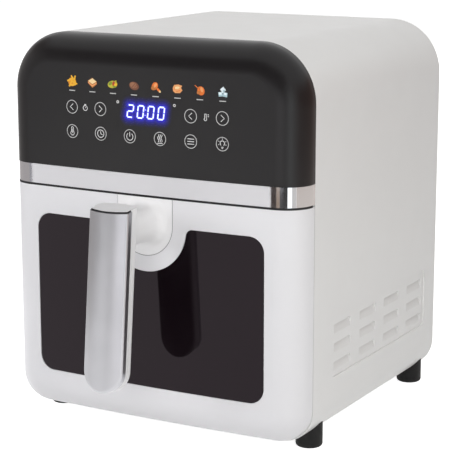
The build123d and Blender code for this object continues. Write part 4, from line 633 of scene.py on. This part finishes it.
# lit display: slanted segments over a soft blue glow
displayPlan = {
    "chars": ("2", "0", "0", "0"), "middle": 1.8, "height": 9.6, "width": 5.2, "pitch": 9.4, "low": 264.2,
    "slant": 0.14, "leanBack": 0.6, "endTrim": (0.1, 0.08), "pen": 0.58, "penSides": 8, "lift": 0.0001,
    "flatten": 0.12, "dots": (2.4, 6.6), "dotBack": 0.9, "dotHalf": 0.15, "dotLean": 0.04,
    "pulseScale": 160, "pulse": (0.85, 1.1),
}
segments = {
    "a": ((0, 1), (1, 1)), "b": ((1, 1), (1, 0.5)), "c": ((1, 0.5), (1, 0)), "d": ((0, 0), (1, 0)),
    "e": ((0, 0), (0, 0.5)), "f": ((0, 0.5), (0, 1)), "g": ((0, 0.5), (1, 0.5)),
}
litSegments = {"2": "abged", "0": "abcdef"}


def segmentLines(s):
    lines = []
    start = s["middle"] - (len(s["chars"]) - 1) / 2 * s["pitch"] - s["width"] / 2
    for place, char in enumerate(s["chars"]):
        for key in litSegments[char]:
            ends = []
            head, tail = segments[key]
            for (u, v), (toU, toV) in ((head, tail), (tail, head)):
                u += s["endTrim"][0] * (toU - u)
                v += s["endTrim"][1] * (toV - v)
                z = v * s["height"]
                x = start + place * s["pitch"] + u * s["width"] + z * s["slant"] - s["leanBack"]
                ends.append((x, z + s["low"]))
            lines.append(ends)
    for dot in s["dots"]:
        x = s["middle"] + dot * s["slant"] - s["dotBack"]
        z = s["low"] + dot
        lines.append([(x, z - s["dotHalf"]), (x + s["dotLean"], z + s["dotHalf"])])
    return lines


displayLines = segmentLines(displayPlan)
litMat, litTree, litShader = newMaterial("litSegment")
flicker = noiseOn(litTree, objectCoords(litTree), displayPlan["pulseScale"])
pulse = rangeOf(litTree, flicker, *displayPlan["pulse"])
litTree.links.new(pulse, litShader.inputs["Emission Strength"])
setShader(litShader, {"Base Color": (0.5, 0.6, 0.8, 1), "Emission Color": (0.72, 0.80, 1.0, 1),
                      "Roughness": 0.4})
digits = strokes("displayDigits", [line(*ends) for ends in displayLines], displayPlan["pen"] * mm,
                 displayPlan["penSides"], litMat)
layOnFront(digits, displayPlan["lift"], displayPlan["flatten"])
print("display:", len(displayLines), "lit strokes")


def distanceTo(x, z):
    gaps = []
    for (x0, z0), (x1, z1) in displayLines:
        dx, dz = x1 - x0, z1 - z0
        t = max(0.0, min(1.0, ((x - x0) * dx + (z - z0) * dz) / (dx * dx + dz * dz)))
        gaps.append(sqrt((x - x0 - t * dx) ** 2 + (z - z0 - t * dz) ** 2))
    return min(gaps)


# a fine sheet over the panel whose glow fades with the distance from the lit strokes
glowPlan = {"left": -25.5, "right": 29.0, "low": 255.0, "high": 283.0, "step": 0.7, "reach": 2.15,
            "lift": 0.00004, "faintest": 0.03, "strongest": 0.95}
across = int((glowPlan["right"] - glowPlan["left"]) / glowPlan["step"])
up = int((glowPlan["high"] - glowPlan["low"]) / glowPlan["step"])
stride = across + 1
glowPoints = []
for j in range(up + 1):
    z = glowPlan["low"] + j * glowPlan["step"]
    glowPoints += [(glowPlan["left"] + i * glowPlan["step"], z) for i in range(stride)]
glowCorners = [j * stride + i for j in range(up) for i in range(across)]
glowFaces = [(c, c + 1, c + stride + 1, c + stride) for c in glowCorners]
halo = carrier("displayGlow", [at(*p) for p in glowPoints], (), glowFaces)
glowField = halo.data.attributes.new("glow", "FLOAT", "POINT")
for i, (x, z) in enumerate(glowPoints):
    glowField.data[i].value = exp(-distanceTo(x, z) / glowPlan["reach"])
haloMat, haloTree, haloShader = newMaterial("displayHalo")
field = addNode(haloTree, "ShaderNodeAttribute", attribute_name="glow")
veil = rangeOf(haloTree, field.outputs["Fac"], 0, glowPlan["strongest"], glowPlan["faintest"], 1.0)
haloTree.links.new(veil, haloShader.inputs["Alpha"])
setShader(haloShader, {"Base Color": (*charcoal, 1), "Emission Color": (0.05, 0.045, 1.0, 1),
                       "Emission Strength": 1.0, "Roughness": 0.34, "Specular IOR Level": 0.3})
halo.data.materials.append(haloMat)
layOnFront(halo, glowPlan["lift"], 1.0)

# painted shadow: a dark band in the joint between the grip's cap and the upper edge of its cover
gripPlan = {"top": (0.0, -0.0555, 0.1994), "tilt": 5.6, "capSlope": 7.0, "half": 0.01646,
            "crownRadius": 0.038976, "inset": 0.00114, "skirt": 0.0098, "drops": (0.00002, 0.0012),
            "steps": 28}


def gripOutline(s):
    half, bend = s["half"], s["crownRadius"]
    outline = [(-half, -s["skirt"])]
    for i in range(s["steps"] + 1):
        x = -half + 2 * half * i / s["steps"]
        outline.append((x, sqrt((bend - s["inset"]) ** 2 - x * x) - bend))
    return outline + [(half, -s["skirt"])]


def capPoint(x, v, drop):
    tilt, both = radians(gripPlan["tilt"]), radians(gripPlan["tilt"] + gripPlan["capSlope"])
    s = (v * sin(both) + drop) / cos(both)
    x0, y0, z0 = gripPlan["top"]
    return (x0 + x, panelFront + y0 - v * cos(tilt) - s * sin(tilt), z0 + v * sin(tilt) - s * cos(tilt))


coverRim = gripOutline(gripPlan)
jointShadePoints = [capPoint(x, v, drop) for drop in gripPlan["drops"] for x, v in coverRim]
jointShadeFaces = [(i + len(coverRim), i + len(coverRim) + 1, i + 1, i) for i in range(len(coverRim) - 1)]
coverJoint = carrier("coverJoint", jointShadePoints, (), jointShadeFaces)
# painted shade: near-black for the shadow in the cover joint and in the gap under the strip
paintedShadeDark = printedInk("paintedShadeDark", (0.006, 0.006, 0.007), 0.7)
coverJoint.data.materials.append(paintedShadeDark)
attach(coverJoint, "drawer")

# painted shadow: a fine dark line in the seam round the handle's base, fainter on the left leg
seamPlan = {"radius": 25.4, "middle": 180.0, "top": 201.3, "sweep": (180, 359.9), "steps": 48, "pen": 0.2,
            "faintPen": 0.08, "penSides": 6, "lift": 0.00003, "flatten": 0.1}
# painted shade colour for the line in the seam
seamShadeGrey = printedInk("seamShadeGrey", (0.13, 0.13, 0.135), 0.6)


def seamLine(name, path, pen):
    piece = strokes(name, [(path, False)], pen * mm, seamPlan["penSides"], seamShadeGrey)
    layOnFront(piece, seamPlan["lift"], seamPlan["flatten"], "drawer")


seamPath = arc(0, seamPlan["middle"], seamPlan["radius"], *seamPlan["sweep"], seamPlan["steps"])
seamLine("baseSeam", seamPath + [at(seamPlan["radius"], seamPlan["top"])], seamPlan["pen"])
seamLeft = [at(-seamPlan["radius"], z) for z in (seamPlan["middle"], seamPlan["top"])]
seamLine("leftSeam", seamLeft, seamPlan["faintPen"])

# painted shadow: a dark band in the gap under the strip, a little proud of the front's outline and lapping
# over the strip's lower edge
gapShadePlan = {"gap": 0.00004, "lap": 0.00035, "proud": 0.00004, "half": 0.135, "edge": 0.023, "steps": 24}


def frontOutline(s):
    middle = s["half"] - s["edge"]
    centre = bowRadius - sqrt((bowRadius - s["edge"]) ** 2 - middle ** 2)
    edge, lean = s["edge"] + s["proud"], asin(middle / (bowRadius - s["edge"]))
    right = [pi / 2 - (pi / 2 - lean) * i / s["steps"] for i in range(s["steps"] + 1)]
    side = [(middle + edge * sin(a), centre - edge * cos(a)) for a in right]
    bow = bowRadius + s["proud"]
    face = [lean - 2 * lean * i / s["steps"] for i in range(1, s["steps"])]
    front = [(bow * sin(a), bowRadius - bow * cos(a)) for a in face]
    return side + front + [(-x, y) for x, y in reversed(side)]


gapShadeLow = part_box("drawer_front")[1].z + gapShadePlan["gap"]
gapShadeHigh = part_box("trim_strip")[0].z + gapShadePlan["lap"]
gapShadeRow = frontOutline(gapShadePlan)
gapShadePoints = [(x, panelFront + y, z) for z in (gapShadeLow, gapShadeHigh) for x, y in gapShadeRow]
gapShadeFaces = [(i, i + len(gapShadeRow), i + len(gapShadeRow) + 1, i + 1) for i in range(len(gapShadeRow) - 1)]
stripGap = carrier("stripGap", gapShadePoints, (), gapShadeFaces)
stripGap.data.materials.append(paintedShadeDark)
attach(stripGap, "housing")
print("gap:", round((gapShadeHigh - gapShadeLow) / mm, 2), "mm tall")

# pan-head screws with a cross recess, set where the plain ones are
screwShape = {"head": 3.8, "height": 2.2, "crown": 0.3, "recess": 1.0, "slotHalf": 0.5, "slotReach": 2.2,
              "rings": 12, "sides": 40, "shank": 2.0, "apart": 0.012}


def screwRing(radius, sides):
    turns = [2 * pi * i / sides for i in range(sides)]
    return [(radius * cos(a), radius * sin(a)) for a in turns]


def screwTemplate(length, s):
    sides, rows = s["sides"], s["rings"] + 3
    points = [(0.0, 0.0, (s["height"] - s["recess"]) * mm)]
    for ring in range(1, s["rings"] + 1):
        r = s["head"] * ring / s["rings"]
        for x, y in screwRing(r, sides):
            z = s["height"] * (1 - s["crown"] * (r / s["head"]) ** 2)
            if min(abs(x), abs(y)) < s["slotHalf"] and max(abs(x), abs(y)) < s["slotReach"]:
                z -= s["recess"]
            points.append((x * mm, y * mm, z * mm))
    for r, z in ((s["head"], 0.0), (s["shank"], 0.0), (s["shank"], -length / mm)):
        points += [(x * mm, y * mm, z * mm) for x, y in screwRing(r, sides)]
    faces = [(0, 1 + i, 1 + (i + 1) % sides) for i in range(sides)]
    for row in range(rows - 1):
        upper, lower = 1 + row * sides, 1 + (row + 1) * sides
        for i in range(sides):
            after = (i + 1) % sides
            faces.append((upper + i, lower + i, lower + after, upper + after))
    faces.append(tuple(range(1 + (rows - 1) * sides, 1 + rows * sides))[::-1])
    return carrier("screwTemplate", points, (), faces)


screwRows = {"rear_screws": ("housing", 1), "drawer_screws": ("drawer", 1), "base_screws": ("housing", -1),
             "foot_screws": ("housing", -1), "guard_screws": ("housing", -1)}
headHeight = screwShape["height"] * mm
for name, (body, facing) in screwRows.items():  # 1 faces the rear, -1 faces the floor
    axis = 1 if facing > 0 else 2
    flat = [i for i in range(3) if i != axis]
    groups = []
    for vertex in nodes[name].data.vertices:
        place = nodes[name].matrix_world @ vertex.co
        for group in groups:
            if all(abs(group[0][i] - place[i]) < screwShape["apart"] for i in flat):
                group.append(place)
                break
        else:
            groups.append([place])
    seats, length = [], 0.0
    for group in groups:
        lowEnd, highEnd = min(p[axis] for p in group), max(p[axis] for p in group)
        length = highEnd - lowEnd - headHeight
        seat = [0.0, 0.0, 0.0]
        for i in flat:
            seat[i] = (min(p[i] for p in group) + max(p[i] for p in group)) / 2
        seat[axis] = highEnd - headHeight if facing > 0 else lowEnd + headHeight
        seats.append(tuple(seat))
    turn = (-pi / 2 if facing > 0 else pi, 0, 0)
    row = repeated(name + "_heads", screwTemplate(length, screwShape), seats, turn, screwSteel)
    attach(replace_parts(row, name), body)
print("screws:", len(screwRows), "rows")

# stage: camera, floor, world, lamps
stageSettings = {
    "cameraPlace": (0.67911, -1.1794, 0.44359), "cameraTurn": (78.05, 0.0, 29.27), "lens": 128.2,
    "sensor": 36.0, "farthest": 100, "floorSize": 40.0, "floorGlow": 0.9,
    "floorColour": (0.78, 0.78, 0.78, 1), "worldAmbient": 0.2, "worldColour": (1, 0.99, 0.98, 1),
}
lens = bpy.data.cameras.new("photoCamera")
lens.lens = stageSettings["lens"]
lens.sensor_width = stageSettings["sensor"]
lens.clip_end = stageSettings["farthest"]
camera = bpy.data.objects.new("photoCamera", lens)
camera.location = stageSettings["cameraPlace"]
camera.rotation_euler = [radians(a) for a in stageSettings["cameraTurn"]]
scene.collection.objects.link(camera)
scene.camera = camera


def seenDirectly(tree):  # camera, mirror and glass rays
    path = addNode(tree, "ShaderNodeLightPath")
    first = addNode(tree, "ShaderNodeMath", operation="MAXIMUM")
    second = addNode(tree, "ShaderNodeMath", operation="MAXIMUM")
    tree.links.new(path.outputs["Is Camera Ray"], first.inputs[0])
    tree.links.new(path.outputs["Is Glossy Ray"], first.inputs[1])
    tree.links.new(first.outputs[0], second.inputs[0])
    tree.links.new(path.outputs["Is Transmission Ray"], second.inputs[1])
    return second.outputs[0]


world = bpy.data.worlds.new("studio")
scene.world = world
world.use_nodes = True
worldTree = world.node_tree
ambient = worldTree.nodes["Background"]
ambient.inputs["Color"].default_value = stageSettings["worldColour"]
ambient.inputs["Strength"].default_value = stageSettings["worldAmbient"]
backdrop = addNode(worldTree, "ShaderNodeBackground", {"Color": (1, 1, 1, 1), "Strength": 1.0})
choice = addNode(worldTree, "ShaderNodeMixShader")
worldTree.links.new(seenDirectly(worldTree), choice.inputs[0])
worldTree.links.new(ambient.outputs[0], choice.inputs[1])
worldTree.links.new(backdrop.outputs[0], choice.inputs[2])
worldTree.links.new(choice.outputs[0], worldTree.nodes["World Output"].inputs["Surface"])

reach = stageSettings["floorSize"] / 2
floorCorners = [(-reach, -reach, 0), (reach, -reach, 0), (reach, reach, 0), (-reach, reach, 0)]
floor = carrier("floor", floorCorners, (), [(0, 1, 2, 3)])
floorMat, floorTree, floorShader = newMaterial("floorWhite")
setShader(floorShader, {"Base Color": stageSettings["floorColour"], "Roughness": 0.9,
                        "Specular IOR Level": 0.0})
glow = addNode(floorTree, "ShaderNodeEmission", {"Strength": stageSettings["floorGlow"]})
unlit = addNode(floorTree, "ShaderNodeEmission", {"Strength": 0.0})
seenGlow = addNode(floorTree, "ShaderNodeMixShader")
floorTree.links.new(seenDirectly(floorTree), seenGlow.inputs[0])
floorTree.links.new(unlit.outputs[0], seenGlow.inputs[1])
floorTree.links.new(glow.outputs[0], seenGlow.inputs[2])
floorLook = addNode(floorTree, "ShaderNodeAddShader")
floorTree.links.new(floorShader.outputs[0], floorLook.inputs[0])
floorTree.links.new(seenGlow.outputs[0], floorLook.inputs[1])
floorTree.links.new(floorLook.outputs[0], floorTree.nodes["Material Output"].inputs["Surface"])
floor.data.materials.append(floorMat)
floor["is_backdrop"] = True

coolWhite, warmWhite = (0.98, 0.98, 1.0), (1.0, 0.99, 0.98)
softboxes = {  # place, aim, extent, watts, colour
    "keyBox": ((0.9, -5.4, 1.6), (0, 0, 0.15), (2.4, 1.8), 62, coolWhite),
    "fillBox": ((-2.4, -1.5, 0.9), (0, 0, 0.15), (1.6, 1.2), 34, coolWhite),
    "topBox": ((0.55, -0.3, 2.3), (0, 0, 0.2), (2.0, 2.0), 20, warmWhite),
    "rearBox": ((-0.8, 3.0, 1.1), (0, 0.1, 0.17), (1.6, 1.2), 22, warmWhite),
    "sideBox": ((0.9, -0.62, 0.36), (0.13, -0.25, 0.17), (0.4, 0.4), 3.0, (1.0, 0.985, 0.965)),
}
for name, (place, aim, extent, watts, colour) in softboxes.items():
    light = bpy.data.lights.new(name, "AREA")
    light.shape = "RECTANGLE"
    light.size, light.size_y = extent
    light.energy = watts
    light.color = colour
    lamp = bpy.data.objects.new(name, light)
    lamp.location = place
    lamp.rotation_euler = (Vector(aim) - Vector(place)).to_track_quat("-Z", "Y").to_euler()
    lamp.visible_glossy = False
    scene.collection.objects.link(lamp)

# pale and dark cards round the front, seen by mirrors and gloss alone
cardPlan = {"middle": (0.12, panelFront + 0.015), "reach": 0.8, "floorLift": 0.002,
            "wallLow": 0.42, "wallHigh": 5}


def glossCard(name, corners, colour):
    card = carrier(name, corners, (), [(0, 1, 2, 3)])
    mat, tree, shader = newMaterial(name)
    setShader(shader, {"Base Color": (0, 0, 0, 1), "Specular IOR Level": 0.0, "Emission Color": (*colour, 1),
                       "Emission Strength": 1.0})
    card.data.materials.append(mat)
    card.visible_camera = False
    card.visible_diffuse = False
    card.visible_transmission = False
    card.visible_volume_scatter = False
    card.visible_shadow = False
    card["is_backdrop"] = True


def awayFrom(turn, distance):
    x, y = cardPlan["middle"]
    return (x + distance * sin(radians(turn)), y - distance * cos(radians(turn)))


paleBeige, deepBrown = (0.98, 0.91, 0.84), (0.42, 0.23, 0.18)
wallCards = {  # two ends on the plan, colour
    "roomFront": ((-5, -4), (4, -4), (0.11, 0.09, 0.084)),
    "roomLeft": ((-5, 3), (-5, -4), (0.22, 0.19, 0.18)),
}
floorCards = {  # from and to in degrees, nearest and farthest edge, colour
    "floorDark": (-24, -10.5, 0.9, 1.5, (0.03, 0.008, 0.0)),
    "floorBeige": (-10.5, 3, 0.9, 1.5, (0.42, 0.31, 0.22)),
    "floorShade": (3, 33, 0.9, 1.5, (0.0, 0.0, 0.0)),
    "floorLeft": (-95, -46, 1.15, 7.0, (0.5, 0.5, 0.52)),
}
standingCards = {  # from and to in degrees, lower and upper edge, colour
    "tableBright": (34, 50, 0.0, 0.5, (2.1, 2.25, 2.3)),
    "tablePale": (50, 67, 0.0, 0.5, (0.98, 0.97, 0.94)),
    "sideBeige": (68, 112, 0.0, 0.095, paleBeige),
    "rearBeige": (112, 160, 0.0, 0.095, paleBeige),
    "sideBrown": (68, 112, 0.096, 0.6, deepBrown),
    "rearBrown": (112, 160, 0.096, 0.6, deepBrown),
    "frontBright": (-12, 17, 0.09, 0.3, (2.15, 2.15, 2.22)),
    "leftGrey": (-110, -58, 0.0, 0.5, (0.62, 0.59, 0.58)),
}
for name, (start, stop, colour) in wallCards.items():
    low, high = cardPlan["wallLow"], cardPlan["wallHigh"]
    glossCard(name, [(*start, low), (*stop, low), (*stop, high), (*start, high)], colour)
for name, (start, stop, nearest, farthest, colour) in floorCards.items():
    edges = ((start, nearest), (stop, nearest), (stop, farthest), (start, farthest))
    glossCard(name, [(*awayFrom(turn, distance), cardPlan["floorLift"]) for turn, distance in edges], colour)
for name, (start, stop, low, high, colour) in standingCards.items():
    first, last = awayFrom(start, cardPlan["reach"]), awayFrom(stop, cardPlan["reach"])
    glossCard(name, [(*first, low), (*last, low), (*last, high), (*first, high)], colour)
print("stage set")

size = {"cadLow": list(cadLow), "cadHigh": list(cadHigh)}
size["visualLow"], size["visualHigh"] = (list(corner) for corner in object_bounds())
